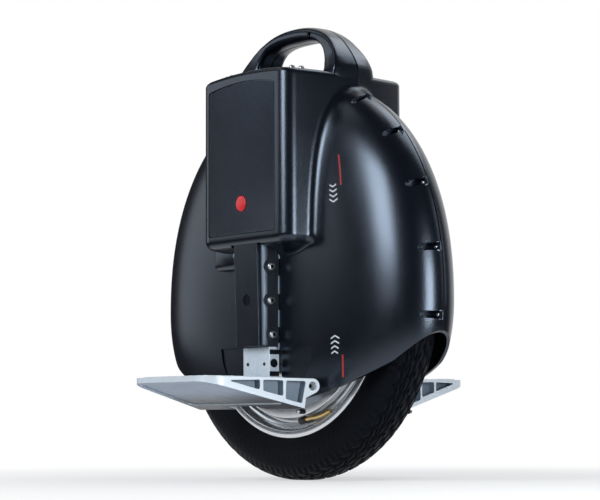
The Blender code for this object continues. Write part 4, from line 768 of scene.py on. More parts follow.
def surface(
    name,
    base,
    roughness,
    metallic=0.0,
    grain=0.0006,
    depth=0.00003,
    mottle=0.12,
    spread=0.06,
    wear=0.0,
    worn=(0.3, 0.3, 0.3),
    dust=0.05,
    dusty=(0.30, 0.29, 0.27),
    specular=0.5,
    sheen=(1.0, 1.0, 1.0),
    lines=None,
    relief=None,
    tint=None,
):
    """One finish: base colour with mottling, worn edges and dust, uneven roughness, and fine relief.

    lines is None, a turning centre height, or a stretch of brushed lines. relief adds a height from
    its coordinates; tint adds a colour factor from them, the finish's own or painted shade.
    """
    made = bpy.data.materials.new(name)
    made.use_nodes = True
    made.diffuse_color = rgba(base)
    tree = made.node_tree
    shader = tree.nodes["Principled BSDF"]
    place_at = node(tree, "ShaderNodeTexCoord").outputs["Object"]
    grained = grouped(tree, "Moulded grain", {"Vector": place_at, "Size": grain})
    tone = mixed(tree, grained["Tone"], rgba(base, 1 - mottle), rgba(base, 1 + mottle))
    if tint:
        tone = tint(tree, place_at, tone)
    if wear:
        edge = node(tree, "ShaderNodeAttribute", attribute_name="edge").outputs["Fac"]
        mask = grouped(tree, "Edge wear", {"Vector": place_at, "Edge": edge, "Amount": wear})["Mask"]
        tone = mixed(tree, mask, tone, rgba(worn))
    rough = ranged(tree, grained["Spread"], 0.0, 1.0, roughness - spread, roughness + spread)
    height = grained["Height"]
    if lines is not None:
        if isinstance(lines, tuple):
            marks = grouped(tree, "Brushed lines", {"Vector": place_at, "Stretch": lines})
        else:
            feeds = {"Vector": place_at, "Centre": (0, 0, lines), "Pitch": 0.0005}
            marks = grouped(tree, "Turned lines", feeds)
        height = maths(tree, "ADD", maths(tree, "MULTIPLY", height, 0.3), marks["Height"])
        rough = maths(tree, "ADD", rough, ranged(tree, marks["Spread"], 0.0, 1.0, -0.07, 0.07), True)
    if dust:
        mask = grouped(tree, "Settled dust", {"Vector": place_at, "Amount": dust})["Mask"]
        tone = mixed(tree, mask, tone, rgba(dusty))
        rough = maths(tree, "ADD", rough, maths(tree, "MULTIPLY", mask, 0.4), True)
    bump = node(tree, "ShaderNodeBump", {"Height": height, "Strength": 1.0, "Distance": depth})
    if relief:
        own, own_depth = relief(tree, place_at)
        feeds = {"Height": own, "Strength": 1.0, "Distance": own_depth, "Normal": bump.outputs["Normal"]}
        bump = node(tree, "ShaderNodeBump", feeds)
    tree.links.new(bump.outputs["Normal"], shader.inputs["Normal"])
    tree.links.new(tone, shader.inputs["Base Color"])
    tree.links.new(rough, shader.inputs["Roughness"])
    shader.inputs["Metallic"].default_value = metallic
    shader.inputs["Specular IOR Level"].default_value = specular
    shader.inputs["Specular Tint"].default_value = rgba(sheen)


def hatched(tree, place_at):
    """Slanting ribs on the leg pad: a triangle wave along y + z, and a low one along y - z."""
    _, y, z = split(tree, place_at)
    wave = maths(tree, "PINGPONG", maths(tree, "ADD", y, z), sizes().hatch * math.sqrt(2) / 2)
    cross = maths(tree, "PINGPONG", maths(tree, "SUBTRACT", y, z), sizes().hatch * math.sqrt(2))
    height = maths(tree, "ADD", wave, maths(tree, "MULTIPLY", cross, 0.2))
    return maths(tree, "MULTIPLY", height, 1.0 / sizes().hatch), 0.0006


def painted_hatch_shade(tree, place_at, tone):
    """Painted shade: the pad is darker between its ribs, by the same triangle wave."""
    _, y, z = split(tree, place_at)
    reach = sizes().hatch * math.sqrt(2) / 2
    wave = maths(tree, "PINGPONG", maths(tree, "ADD", y, z), reach)
    return mixed(tree, ranged(tree, wave, 0.0, reach, 0.25, 1.0, True), (0.0015, 0.002, 0.004, 1.0), tone)


def sidewall_rings(tree, place_at):
    """Fine rings on the tyre's side: a sine wave along the distance from the axle."""
    _, y, z = split(tree, place_at)
    reach = hypotenuse(tree, y, maths(tree, "SUBTRACT", z, AXLE_HEIGHT))
    return maths(tree, "SINE", maths(tree, "MULTIPLY", reach, 2 * math.pi / 0.0016)), 0.00005


def painted_hinge_shade(tree, place_at, tone):
    """Painted shade: the underside darkens toward the hinge, by the distance from the middle plane."""
    away = maths(tree, "ABSOLUTE", split(tree, place_at)["X"])
    return mixed(tree, ranged(tree, away, 0.095, 0.15, 0.05, 1.0, True), (0.012, 0.016, 0.024, 1.0), tone)


def wound(tree, place_at, tone):
    """Copper windings between bright laminations: bands by the turn about the axle."""
    _, y, z = split(tree, place_at)
    turn = maths(tree, "ARCTAN2", y, maths(tree, "SUBTRACT", z, AXLE_HEIGHT))
    waves = maths(tree, "SINE", maths(tree, "MULTIPLY", turn, 45.0))
    return mixed(tree, ranged(tree, waves, -0.3, 0.3, smooth=True), tone, (0.42, 0.43, 0.45, 1.0))


def traced(tree, place_at, tone):
    """Circuit traces and solder points from a brick pattern and small cells."""
    feeds = {"Vector": place_at, "Scale": 90.0, "Mortar Size": 0.03, "Brick Width": 0.7, "Row Height": 0.3}
    feeds.update({"Color1": tone, "Color2": tone, "Mortar": (0.30, 0.42, 0.12, 1.0)})
    bricks = node(tree, "ShaderNodeTexBrick", feeds)
    cells = node(tree, "ShaderNodeTexVoronoi", {"Vector": place_at, "Scale": 230.0})
    solder = ranged(tree, cells.outputs["Distance"], 0.12, 0.2, 1.0, 0.0, True)
    return mixed(tree, solder, bricks.outputs["Color"], (0.55, 0.56, 0.58, 1.0))


def wrapped(tree, place_at):
    """Wrinkles of the shrink wrap round a battery."""
    return noise(tree, place_at, 60.0, 4.0, 0.6), 0.0008


def make_surfaces():
    """Every finish: its name, colour, roughness, metallic share and what sets it apart."""
    plastic, steel, rubber = colour("plastic"), colour("steel"), colour("rubber")
    glossy = {"dust": 0.003, "specular": 1.0, "sheen": COOL}
    moulded = {"mottle": 0.06, "spread": 0.015, **glossy}
    scuffed = {"mottle": 0.04, "wear": 0.3, "worn": (0.9, 0.92, 0.94), "dust": 0.02}
    worn = (0.02, 0.025, 0.032)
    surface("case plastic", plastic, 0.25, grain=0.0015, depth=0.0001, wear=0.05, worn=worn, **moulded)
    # The pocket plastic's pale rims are partly edge wear and partly a painted highlight.
    worn = (0.20, 0.24, 0.30)
    surface("pocket plastic", plastic, 0.3, grain=0.0011, depth=0.00004, wear=0.9, worn=worn, **moulded)
    # The pad's tint is painted shade between its ribs.
    options = {"wear": 0.5, "worn": (0.0, 0.0, 0.001), "relief": hatched, "tint": painted_hatch_shade, "sheen": COOL}
    # The pad's near-black worn colour on its rounded edges is painted shade of the gap round the pad.
    surface("pad plastic", colour("pad"), 0.34, spread=0.02, dust=0.004, specular=0.8, **options)
    surface("badge enamel", colour("badge"), 0.22, grain=0.003, depth=0.00001, mottle=0.06, dust=0.01)
    surface("stripe print", colour("stripe"), 0.42, grain=0.0007, depth=0.00004, dust=0.01)
    surface("mark print", colour("mark"), 0.45, grain=0.0007, depth=0.00004, mottle=0.04, dust=0.01)
    surface("frame coating", colour("dark_metal"), 0.42, wear=0.05, worn=(0.02, 0.025, 0.03), **glossy)
    surface("cast aluminium", colour("aluminium"), 0.42, 0.2, **scuffed)
    # Grey that paints shade inside the pedal windows; on the column ribs it is their pale colour and a
    # painted edge highlight.
    surface("window coating", (0.16, 0.20, 0.25), 0.40, 0.2, mottle=0.05, dust=0.01)
    options = {"grain": 0.0012, "depth": 0.00004, "mottle": 0.05, "dust": 0.02}
    # The underside's darkening toward the hinge is painted shade.
    surface("underside coating", colour("underside"), 0.38, 0.35, tint=painted_hinge_shade, **options)
    options = {"grain": 0.0005, "depth": 0.00002, "lines": (500.0, 40.0, 2500.0)}
    surface("block aluminium", (0.54, 0.61, 0.68), 0.42, 0.2, **options, **scuffed)
    options = {"depth": 0.000004, "mottle": 0.02, "spread": 0.02, "dust": 0.004}
    surface("turned aluminium", (0.80, 0.82, 0.85), 0.18, 0.85, lines=AXLE_HEIGHT, **options)
    surface("screw steel", steel, 0.3, 1.0, depth=0.00001, lines=(2500.0, 300.0, 2500.0), dust=0.03)
    options = {"wear": 0.4, "worn": (0.3, 0.31, 0.33), "dust": 0.01}
    surface("dark bolt steel", (0.02, 0.022, 0.028), 0.38, 0.4, depth=0.00002, **options)
    surface("axle steel", steel, 0.34, 1.0, grain=0.0008, depth=0.00002, lines=AXLE_HEIGHT)
    options = {"grain": 0.0005, "depth": 0.00008, "dust": 0.04, "tint": wound}
    surface("stator windings", (0.55, 0.23, 0.09), 0.4, 0.85, **options)
    surface("valve brass", colour("brass"), 0.26, 1.0, depth=0.00001, lines=(900.0, 900.0, 900.0), dust=0.02)
    options = {"grain": 0.0009, "depth": 0.00005, "wear": 0.5, "worn": (0.020, 0.024, 0.032), "dust": 0.002}
    options.update(mottle=0.2, specular=0.08, sheen=COOL, relief=sidewall_rings)
    surface("tyre rubber", rubber, 0.42, **options)
    surface("soft rubber", rubber, 0.6, depth=0.00005, mottle=0.15, dust=0.003, specular=0.2, sheen=COOL)
    surface("black plastic", (0.006, 0.006, 0.008), 0.38, wear=0.2, worn=(0.05, 0.05, 0.06), dust=0.02)
    surface("battery wrap", (0.02, 0.09, 0.30), 0.28, grain=0.001, depth=0.00002, relief=wrapped)
    surface("circuit board", (0.015, 0.14, 0.05), 0.4, grain=0.0008, tint=traced)


# Case.


def smooth_max(first, second, reach):
    """Larger of two values, with a rounded change-over."""
    blend = np.maximum(reach - np.abs(first - second), 0) / reach
    return np.maximum(first, second) + blend * blend * reach / 4


def round_reach(turn, height, wall):
    """Plan distance from the middle axis to the round shell, found by halving an interval.

    The surface is (x / half width)^2 + d^crown = 1, where d is the super-ellipse distance of
    (y, z) from the shell's middle.
    """
    drop = np.where(height > SHELL_MIDDLE, SHELL_RISE - wall, SHELL_FALL - wall)
    level = (np.abs(height - SHELL_MIDDLE) / drop) ** SHELL_OUTLINE
    low = np.zeros(np.broadcast(turn, height).shape)
    high = np.full_like(low, SHELL_HALF_LENGTH * 1.5)
    for _ in range(36):
        middle = (low + high) / 2
        along = (middle * np.abs(np.cos(turn)) / (SHELL_HALF_LENGTH - wall)) ** SHELL_OUTLINE
        across = (middle * np.sin(turn) / (SHELL_HALF_WIDTH - wall)) ** 2
        inside = across + (along + level) ** (SHELL_CROWN / SHELL_OUTLINE) < 1
        low, high = np.where(inside, middle, low), np.where(inside, high, middle)
    return low


def block_ends(turn, inset):
    """Plan distances to the block's flat outer face and to its slightly bowed end."""
    across, along = np.maximum(np.sin(turn), 1e-6), np.abs(np.cos(turn))
    bow, taper = BLOCK_BOW * across * across, along + BLOCK_TAPER * across
    end = np.maximum(BLOCK_HALF_LENGTH - inset, 0)
    return (BLOCK_HALF_WIDTH - inset) / across, 2 * end / (taper + np.sqrt(taper * taper + 4 * bow * end))


def underside_inset(height, wall):
    """How far the block draws in at its rounded, slanting underside."""
    below = BLOCK_UNDERSIDE + wall + BLOCK_UNDER_EDGE - height
    arc = BLOCK_UNDER_EDGE - np.sqrt(BLOCK_UNDER_EDGE**2 - np.clip(below, 0, BLOCK_UNDER_EDGE) ** 2)
    return arc + np.maximum(below - BLOCK_UNDER_EDGE, 0) * BLOCK_UNDER_SLOPE


def case_reach(turn, height, wall=0.0, inset=0.0):
    """Plan distance to the case: round shell and block, blended over a fillet at the root."""
    face, end = block_ends(turn, wall + inset + underside_inset(height, wall))
    block = -smooth_max(-face, -end, BLOCK_CORNER)
    return smooth_max(round_reach(turn, height, wall), np.maximum(block, 0), BLOCK_FILLET)


def block_top(y):
    """Height of the block's top, which falls a little toward its ends."""
    return BLOCK_TOP - BLOCK_TOP_DROP * (y / BLOCK_TOP_REACH) ** 2


def skirt_height(x, y):
    """Height of the case's lower edge, with an arched lip at each end."""
    rise = SKIRT_LOW + SKIRT_RISE * (y / SKIRT_REACH) ** 2
    lip = SKIRT_LIP * np.maximum(1 - (x / SKIRT_LIP_HALF_WIDTH) ** 2, 0)
    return rise + np.where(np.abs(y) > SKIRT_REACH / 2, lip, 0)


def case_turns():
    """Plan angles from the front seam round to the rear seam, close where the block grows out."""
    quarter = np.concatenate([[0, 0.22], np.linspace(0.6, 61, 104), np.linspace(63, 90, 15)])
    return np.radians(np.concatenate([quarter, 180 - quarter[-2::-1]]))


def case_sheet(wall):
    """Outer or inner sheet of a case half as (rings, columns, 3), with the edge value of each point.

    Rows rise from the skirt line to the block's top, turn over its rounded edge along a quarter
    circle, and close toward the middle by a falling share of the last reach.
    """
    turns = case_turns()
    edge_height = np.full_like(turns, SKIRT_LOW)
    for _ in range(12):
        reach = case_reach(turns, edge_height, wall)
        edge_height = skirt_height(reach * np.sin(turns), reach * np.cos(turns))
    shoulder = np.full_like(turns, BLOCK_TOP)
    for _ in range(6):
        reach = case_reach(turns, shoulder, wall)
        shoulder = block_top(reach * np.cos(turns)) - BLOCK_EDGE - wall
    below = np.linspace(0, 1, 34)[:, None]
    steps = (np.linspace(0, 0.16, 30)[1:], np.linspace(0.17, 0.76, 36), np.linspace(0.775, 1, 18)[:-1])
    above = np.concatenate(steps)[:, None]
    lower = edge_height + (BLOCK_ROOT - edge_height) * below
    height = np.vstack([lower, BLOCK_ROOT + (shoulder - BLOCK_ROOT) * above])
    reach = case_reach(turns[None, :], height, wall)
    face, end = block_ends(turns[None, :], wall + underside_inset(height, wall))
    corner = np.clip(1 - np.abs(face - end) / BLOCK_CORNER, 0, 1) * (height > BLOCK_UNDERSIDE)
    reaches, heights, edges = [reach], [height], [corner]
    for angle in np.radians(np.linspace(0, 90, 9)):
        inset = BLOCK_EDGE * (1 - math.cos(angle))
        fall = BLOCK_EDGE * (1 - math.sin(angle)) + wall
        level = shoulder
        for _ in range(6):
            reach = case_reach(turns, level, wall, inset)
            level = block_top(reach * np.cos(turns)) - fall
        reaches.append(reach[None, :])
        heights.append(level[None, :])
        edges.append(np.full((1, len(turns)), math.sin(2 * angle)))
    inward = np.array(BLOCK_TOP_SHARES)[:, None]
    reaches.append(reach * inward)
    heights.append(block_top(reach * inward * np.cos(turns)) - wall)
    edges.append(np.zeros((len(inward), len(turns))))
    reach, height = np.vstack(reaches), np.vstack(heights)
    if wall == 0:
        reach[:, [0, -1]] -= SEAM_GROOVE
    points = np.stack([reach * np.sin(turns), -reach * np.cos(turns), height], -1)
    return points, np.vstack(edges)


def case_walls():
    """Closed wall of one case half: outer and inner sheets joined along the seam and the skirt."""
    outer, edges = case_sheet(0.0)
    inner, _ = case_sheet(sizes().wall)
    rows, columns = outer.shape[:2]
    count = rows * columns
    poles = [(0, 0, BLOCK_TOP), (0, 0, BLOCK_TOP - sizes().wall)]
    points = np.concatenate([outer.reshape(-1, 3), inner.reshape(-1, 3), poles])
    grid = np.arange(count).reshape(rows, columns)
    faces = [quads(rows, columns), quads(rows, columns)[:, ::-1] + count]
    bottom = grid[0]
    faces.append(np.stack([bottom[1:], bottom[:-1], bottom[:-1] + count, bottom[1:] + count], 1))
    for line in (grid[:, 0], grid[::-1, -1]):
        faces.append(np.stack([line[:-1], line[1:], line[1:] + count, line[:-1] + count], 1))
    top, outer_pole, inner_pole = grid[-1], 2 * count, 2 * count + 1
    outer_poles = np.full(columns - 1, outer_pole)
    faces.append(np.stack([top[:-1], top[1:], outer_poles], 1))
    faces.append(np.stack([top[1:] + count, top[:-1] + count, outer_poles + 1], 1))
    front, rear = top[0], top[-1]
    faces.append([[front, outer_pole, inner_pole, front + count]])
    faces.append([[outer_pole, rear, rear + count, inner_pole]])
    values = np.concatenate([edges.ravel(), np.zeros(count + 2)])
    return mesh_of(points, faces, values)


def super_ellipse(angle, centre, half_length, half_height, squareness):
    """Points (y, z) of a quarter super-ellipse at the given angles."""
    along = np.abs(np.cos(angle)) ** (2 / squareness)
    up = np.abs(np.sin(angle)) ** (2 / squareness)
    return np.stack([half_length * along, centre + half_height * up], 1)


def handle_half():
    """Half of the carry handle: flat-backed sections swept from one foot over the top to the other.

    Each section lies between the outer and the inner super-ellipse. Across it, x is the width times
    cos a and the lift is sin a, both to the power 2 / squareness, which is larger in the legs, and
    the width grows toward the outer face. A small groove runs along the seam.
    """
    height = np.linspace(HANDLE_CENTRE, BLOCK_TOP + 0.005, 18)
    sink = GRIP_FOOT_RADIUS + block_top(GRIP_HALF_LENGTH) - np.maximum(height, BLOCK_TOP - 0.003)
    flare = GRIP_FOOT_RADIUS - np.sqrt(np.maximum(GRIP_FOOT_RADIUS**2 - np.maximum(sink, 0) ** 2, 0))
    up = (height - HANDLE_CENTRE) / HANDLE_RISE
    outer = np.stack([HANDLE_HALF_LENGTH * (1 - up**HANDLE_OUTLINE) ** (1 / HANDLE_OUTLINE), height], 1)
    inner = np.stack([GRIP_HALF_LENGTH - 0.001 - flare, height], 1)
    share = np.linspace(0, 1, 44)
    handle = (HANDLE_CENTRE, HANDLE_HALF_LENGTH, HANDLE_RISE, HANDLE_OUTLINE)
    grip = (GRIP_CENTRE, GRIP_HALF_LENGTH, GRIP_HALF_HEIGHT, GRIP_OUTLINE)
    outer_turn, inner_turn = (np.radians(low + (90 - low) * share) for low in (HANDLE_START, GRIP_START))
    outer = np.vstack([outer, super_ellipse(outer_turn, *handle)])
    inner = np.vstack([inner, super_ellipse(inner_turn, *grip)])
    outer, inner = (np.vstack([line, line[-2::-1] * (-1, 1)]) for line in (outer, inner))
    rise = outer[:, 1] - BLOCK_TOP
    share = np.clip(rise / HANDLE_FLARE_RISE, 0, 1)
    foot = HANDLE_FLARE * (1 - share**HANDLE_FLARE_POWER) ** 2 + 0.1 * np.minimum(rise, 0)
    outer[:, 0] += np.sign(outer[:, 0]) * foot
    middle, half = (outer + inner) / 2, (outer - inner) / 2
    face = np.interp(rise, HANDLE_FACE_HEIGHTS, HANDLE_FACE_HALF_WIDTHS)[:, None]
    squareness = np.interp(rise, HANDLE_SQUARE_HEIGHTS, HANDLE_SQUARENESS)[:, None]
    slanting = np.interp(rise, HANDLE_SLANT_HEIGHTS, HANDLE_SLANTS)[:, None]
    angle = np.radians(np.concatenate([[90, 89.9], np.linspace(88.5, -88.5, 45), [-89.9, -90]]))[None, :]
    lift = np.sign(np.sin(angle)) * np.abs(np.sin(angle)) ** (2 / squareness)
    width = HANDLE_HALF_WIDTH + (face - HANDLE_HALF_WIDTH) * (1 + lift) / 2
    x = width * np.maximum(np.cos(angle), 0) ** (2 / squareness)
    x[:, [0, -1]], x[:, [1, -2]] = 0, SEAM_GROOVE
    drop = slanting * x * np.maximum(lift, 0)
    drop[:, 0], drop[:, -1] = SEAM_GROOVE, -SEAM_GROOVE
    spot = middle[:, None, :] + half[:, None, :] * lift[..., None] - unit(half)[:, None, :] * drop[..., None]
    return mesh_of(np.concatenate([x[..., None], spot], -1), ring_faces(*x.shape))


def seam_spots():
    """Places (y, z) of the seam screws, a little inside the case's outline along its normal."""
    drop = np.where(SEAM_SCREW_SHARES > 0, SHELL_RISE, SHELL_FALL)
    height = SHELL_MIDDLE + SEAM_SCREW_SHARES * drop
    share = np.abs(SEAM_SCREW_SHARES)
    along = SHELL_HALF_LENGTH * (1 - share**SHELL_OUTLINE) ** (1 / SHELL_OUTLINE)
    lean = share ** (SHELL_OUTLINE - 1) / drop * np.sign(SEAM_SCREW_SHARES)
    reach = (along / SHELL_HALF_LENGTH) ** (SHELL_OUTLINE - 1) / SHELL_HALF_LENGTH
    length = np.hypot(reach, lean)
    places = np.stack([along, height, reach / length, lean / length], 1)
    return [row * (side, 1, side, 1) for row in places for side in (-1, 1)]


def screw_places():
    """Centres (y, z) of the seam screws in their pockets."""
    return [(y - SEAM_SCREW_INSET * a, z - SEAM_SCREW_INSET * b) for y, z, a, b in seam_spots()]


def pocket_outline(spot, margin=0.0):
    """Outline (y, z) of a seam pocket: a slot from outside the case to a round end at its depth."""
    radius = POCKET_RADIUS + margin
    low = np.radians(np.linspace(180, 360, 19))
    inset = np.concatenate([POCKET_DEPTH - radius * np.sin(low), np.linspace(POCKET_DEPTH, -0.003, 9)[1:]])
    across = np.concatenate([radius * np.cos(low), np.full(8, radius)])
    inset, across = np.append(inset, inset[:18:-1]), np.append(across, -across[:18:-1])
    y, z, a, b = spot
    return np.stack([y - inset * a - across * b, z - inset * b + across * a], 1)


def pocket_liner(spot):
    """Thin-walled trough of a pocket; its rim lies at the x of the round shell over each point.

    That x is half width * (1 - d^crown) ^ (1/2), with d the super-ellipse distance of (y, z).
    """
    rings = []
    for margin, floor in ((POCKET_WALL, POCKET_FLOOR - POCKET_WALL), (0.0, POCKET_FLOOR)):
        outline = pocket_outline(spot, margin)
        drop = np.where(outline[:, 1] > SHELL_MIDDLE, SHELL_RISE, SHELL_FALL)
        far = (np.abs(outline[:, 0]) / SHELL_HALF_LENGTH) ** SHELL_OUTLINE
        far = far + (np.abs(outline[:, 1] - SHELL_MIDDLE) / drop) ** SHELL_OUTLINE
        rim = SHELL_HALF_WIDTH * np.sqrt(np.clip(1 - far ** (SHELL_CROWN / SHELL_OUTLINE), 0, 1))
        rim = np.maximum(rim + 0.00005, floor + 0.0001)
        pair = [np.column_stack([np.full(len(outline), floor), outline]), np.column_stack([rim, outline])]
        rings += pair if margin else pair[::-1]
    # Edge value 1 on the rim rings, where the pale rim colour is partly wear and partly a painted highlight.
    edge = np.repeat([0.0, 1.0, 1.0, 0.0], len(rings[0]))
    return mesh_of(np.vstack(rings), ring_faces(4, len(rings[0])), edge, 1e-6)


def pad_outline(margin):
    """Outline (y, z) of the leg pad, wider by a margin, with its top bowed down at the ends."""
    half, low = PAD_HALF_LENGTH + margin, PAD_BOTTOM - margin
    share = np.linspace(1, -1, 15)
    top = np.stack([PAD_CENTRE + half * share, PAD_TOP + margin - PAD_TOP_DROP * share * share], 1)
    corners = np.vstack([[(PAD_CENTRE - half, low), (PAD_CENTRE + half, low)], top])
    radii = np.array([PAD_CORNER, PAD_CORNER, PAD_CORNER] + [0] * 13 + [PAD_CORNER])
    return outline_of(corners, radii, 8)


class UNICYCLE_OT_case(bpy.types.Operator):
    """Build the two halves of the moulded case with the carry handle"""

    bl_idname = "unicycle.case"
    bl_label = "Case"

    def execute(self, context):
        half = carved(case_walls(), handle_half(), "UNION")
        floor = BLOCK_HALF_WIDTH - PAD_THICKNESS - GAP
        pad = slab(pad_outline(2 * GAP), "X", floor, BLOCK_HALF_WIDTH + PAST)
        clear = FRAME_HALF_LENGTH + 2 * GAP
        across = (SHELL_HALF_WIDTH + GAP / 3, COVER_TOP_OUTER + GAP)
        slot = box(across, (-clear, clear), (HINGE_TOP, FRAME_TOP + PAST))
        seat = HANDLE_HALF_WIDTH - HANDLE_SCREW_DEPTH
        screw = rod("X", HANDLE_SCREW, HANDLE_SCREW_BORE, seat, HANDLE_HALF_WIDTH + PAST, 28)
        half = carved(half, joined(pad, slot, screw))
        inner, outer = SHELL_HALF_WIDTH - 3 * sizes().wall, SHELL_HALF_WIDTH + PAST
        notch = box((inner, outer), (-clear, clear), (SKIRT_LOW - 5 * PAST, TONGUE_TOP + PAST))
        half = carved(half, joined(notch, rod("X", (0, AXLE_HEIGHT), AXLE_OPENING, inner, outer)))
        half = carved(half, self.side_step())
        right = half.copy()
        left = shifted(carved(half, self.top_hole(BUTTON_RADIUS)), (GAP / 2, 0, 0))
        right = carved(right, self.top_hole(SOCKET_RADIUS))
        place("case_left", left, "case plastic", "shell_plastic", "case", ["shell_left"])
        pockets = [slab(pocket_outline(spot), "X", POCKET_FLOOR, SHELL_HALF_WIDTH) for spot in seam_spots()]
        right = mirrored(shifted(carved(right, joined(*pockets)), (GAP / 2, 0, 0)))
        place("case_right", right, "case plastic", "shell_plastic", "case", ["shell_right"])
        boss = box(*BOSS_BOX, BOSS_ROUNDING, BOSS_ROUNDING)
        place_pair("under_box_boss", boss, "case plastic", "shell_plastic")
        liners = mirrored(joined(*[pocket_liner(spot) for spot in seam_spots()]))
        place("seam_pockets", liners, "pocket plastic", "shell_plastic", "case")
        return {"FINISHED"}

    def top_hole(self, radius):
        """Cutter for a round hole in the block's top."""
        return rod("Z", (TOP_ITEM_X, 0), radius + GAP, BLOCK_TOP - 3 * sizes().wall, BLOCK_TOP + PAST)

    def side_step(self):
        """Cutter for the shallow step round the lower column, curved like the photographed line."""
        arc = curve_through(STEP_STOPS, 6)
        outline = np.vstack([arc, arc[::-1] * (-1, 1)])
        return slab(outline, "X", STEP_FLOOR, SHELL_HALF_WIDTH + PAST)


class UNICYCLE_OT_leg_pads(bpy.types.Operator):
    """Build the ribbed leg pads with their border line and their round badges"""

    bl_idname = "unicycle.leg_pads"
    bl_label = "Leg pads and badges"

    def execute(self, context):
        low = BLOCK_HALF_WIDTH - PAD_THICKNESS + GAP / 2
        high = BLOCK_HALF_WIDTH + GAP / 2
        pad = slab(pad_outline(-GAP), "X", low, high, 0.0001, 0.0005, 3)
        hole = rod("X", BADGE_AT, BADGE_RADIUS + 2 * GAP, low - PAST, high + PAST, 56)
        place_pair("leg_pad_cover", carved(pad, hole), "pad plastic", "pad_plastic", replaced=["leg_pad"])
        lean = np.linspace(0, 1, 10)[::-1] * np.pi / 2
        dome = np.stack([high + 0.0004 + 0.0007 * np.cos(lean), BADGE_RADIUS * np.sin(lean) * 0.97], 1)
        foot = [(low, 0.0004), (low, BADGE_RADIUS - 0.0002)]
        rim = [(high - 0.0002, BADGE_RADIUS), (high + 0.0002, BADGE_RADIUS)]
        badge = lathe(np.vstack([foot, rim, dome[:-1], [(high + 0.0011, 0.0003)]]), "X", BADGE_AT, 64)
        place_pair("round_badge", badge, "badge enamel", "badge_red", replaced=["badge"])
        return {"FINISHED"}


class UNICYCLE_OT_columns(bpy.types.Operator):
    """Build the pedal columns: coated frames, cover strips and their plugs"""

    bl_idname = "unicycle.columns"
    bl_label = "Pedal columns"

    def execute(self, context):
        self.frame()
        self.ribs()
        self.cover()
        return {"FINISHED"}

    def frame(self):
        """Coated frame with its tongue, the axle's bore and nut recess, and bosses round its bolts."""
        half = FRAME_HALF_LENGTH
        across, along, up = (FRAME_INNER, FRAME_OUTER), (-half, half), (FRAME_BOTTOM, FRAME_TOP)
        body = box(across, along, up, 0.0008, [0.0006, 0.0055, 0.0055, 0.0006], 0.001)
        shelf, root = FRAME_BOTTOM - PAST / 2, FRAME_INNER + PAST
        outline = [(TONGUE_INNER, TONGUE_BOTTOM), (TONGUE_OUTER, TONGUE_BOTTOM), (TONGUE_OUTER, shelf)]
        outline += [(root, shelf), (root, TONGUE_TOP), (TONGUE_INNER, TONGUE_TOP)]
        tongue = slab(outline, "Y", -TONGUE_HALF_LENGTH, TONGUE_HALF_LENGTH, 0.0004, 0.0004)
        body = carved(body, tongue, "UNION")
        axle = (0, AXLE_HEIGHT)
        body = carved(body, rod("X", axle, AXLE_RADIUS + GAP, FRAME_INNER - PAST, NUT_SEAT + PAST))
        body = carved(body, rod("X", axle, NUT_RECESS, NUT_SEAT, FRAME_OUTER + PAST, 48))
        steps = [(-PAST, 0.0005), (-PAST, 0.0088), (0.0006, 0.0088), (0.0009, 0.0084), (0.0009, 0.0062)]
        steps += [(GAP, 0.0056), (GAP, 0.0005)]
        ends = [(spot, side) for spot in FRAME_BOLTS for side in (-1, 1)]
        bosses = [lathe(stepped(side * half, side, steps), "Y", spot, 40) for spot, side in ends]
        body = joined(body, *bosses)
        place_pair("column_frame", body, "frame coating", "frame_metal", replaced=["pedal_frame"])

    def ribs(self):
        """Pale bars and bends on the frame's inner edges, and a pale rod along each outer corner as a painted
        highlight.
        """
        ribs = []
        half = FRAME_HALF_LENGTH
        bend = curve_through(RIB_BEND, 6)
        for side in (-1, 1):
            ends = sorted((side * (half - 0.0006), side * (half + 0.0008)))
            for span in RIB_SPANS:
                ribs.append(box((FRAME_INNER - 0.0001, FRAME_INNER + 0.0018), ends, span, 0.0004, 0.0005))
            level = np.full(len(bend), side * (half + 0.0002))
            path = np.column_stack([bend[:, 0], level, bend[:, 1]])
            ribs.append(tube(path, np.full(len(bend), 0.0007), 10))
            # The pale rod in each outer corner paints the highlight of the frame's rounded edge.
            corner = (FRAME_OUTER - 0.0029, side * (half - 0.0029))
            ribs.append(rod("Z", corner, 0.0022, FRAME_BOTTOM + 0.0015, FRAME_TOP - 0.0015, 32, 0.0004))
        place_pair("column_ribs", joined(*ribs), "window coating", "bright_aluminium")

    def cover(self):
        """Strip on the frame's outer face, thicker toward its top, and the round plug in it."""
        low, half = FRAME_OUTER + GAP, COVER_HALF_LENGTH
        corners = [(-half, FRAME_BOTTOM), (half, FRAME_BOTTOM), (half, FRAME_TOP), (-half, FRAME_TOP)]
        outline = outline_of(corners, 0.0008, 3, 0.001)
        rise = (COVER_TOP_OUTER - COVER_BOTTOM_OUTER) / (FRAME_TOP - FRAME_BOTTOM)
        high = COVER_BOTTOM_OUTER + rise * (outline[:, 1] - FRAME_BOTTOM)
        strip = slab(outline, "X", low, high, 0.0001, 0.0003, 3, 0.001)
        spot = (0, PLUG_HEIGHT)
        strip = carved(strip, rod("X", spot, PLUG_RADIUS + GAP, low - PAST, COVER_TOP_OUTER + PAST, 48))
        place_pair("cover_strip", strip, "case plastic", "shell_plastic", replaced=["column_cover"])
        face = COVER_BOTTOM_OUTER + rise * (PLUG_HEIGHT - FRAME_BOTTOM)
        profile = [(low, 0.0003), (low, PLUG_RADIUS), (face - 0.0002, PLUG_RADIUS)]
        profile += stepped(face, 1, ((0.0002, PLUG_RADIUS - 0.0003), (0.0002, 0.0053)))
        profile += stepped(face, -1, ((0.0007, 0.0048), (0.0007, 0.0003)))
        plug = lathe(profile, "X", spot, 48)
        place_pair("cover_plug", plug, "soft rubber", "frame_metal", replaced=["column_plug"])


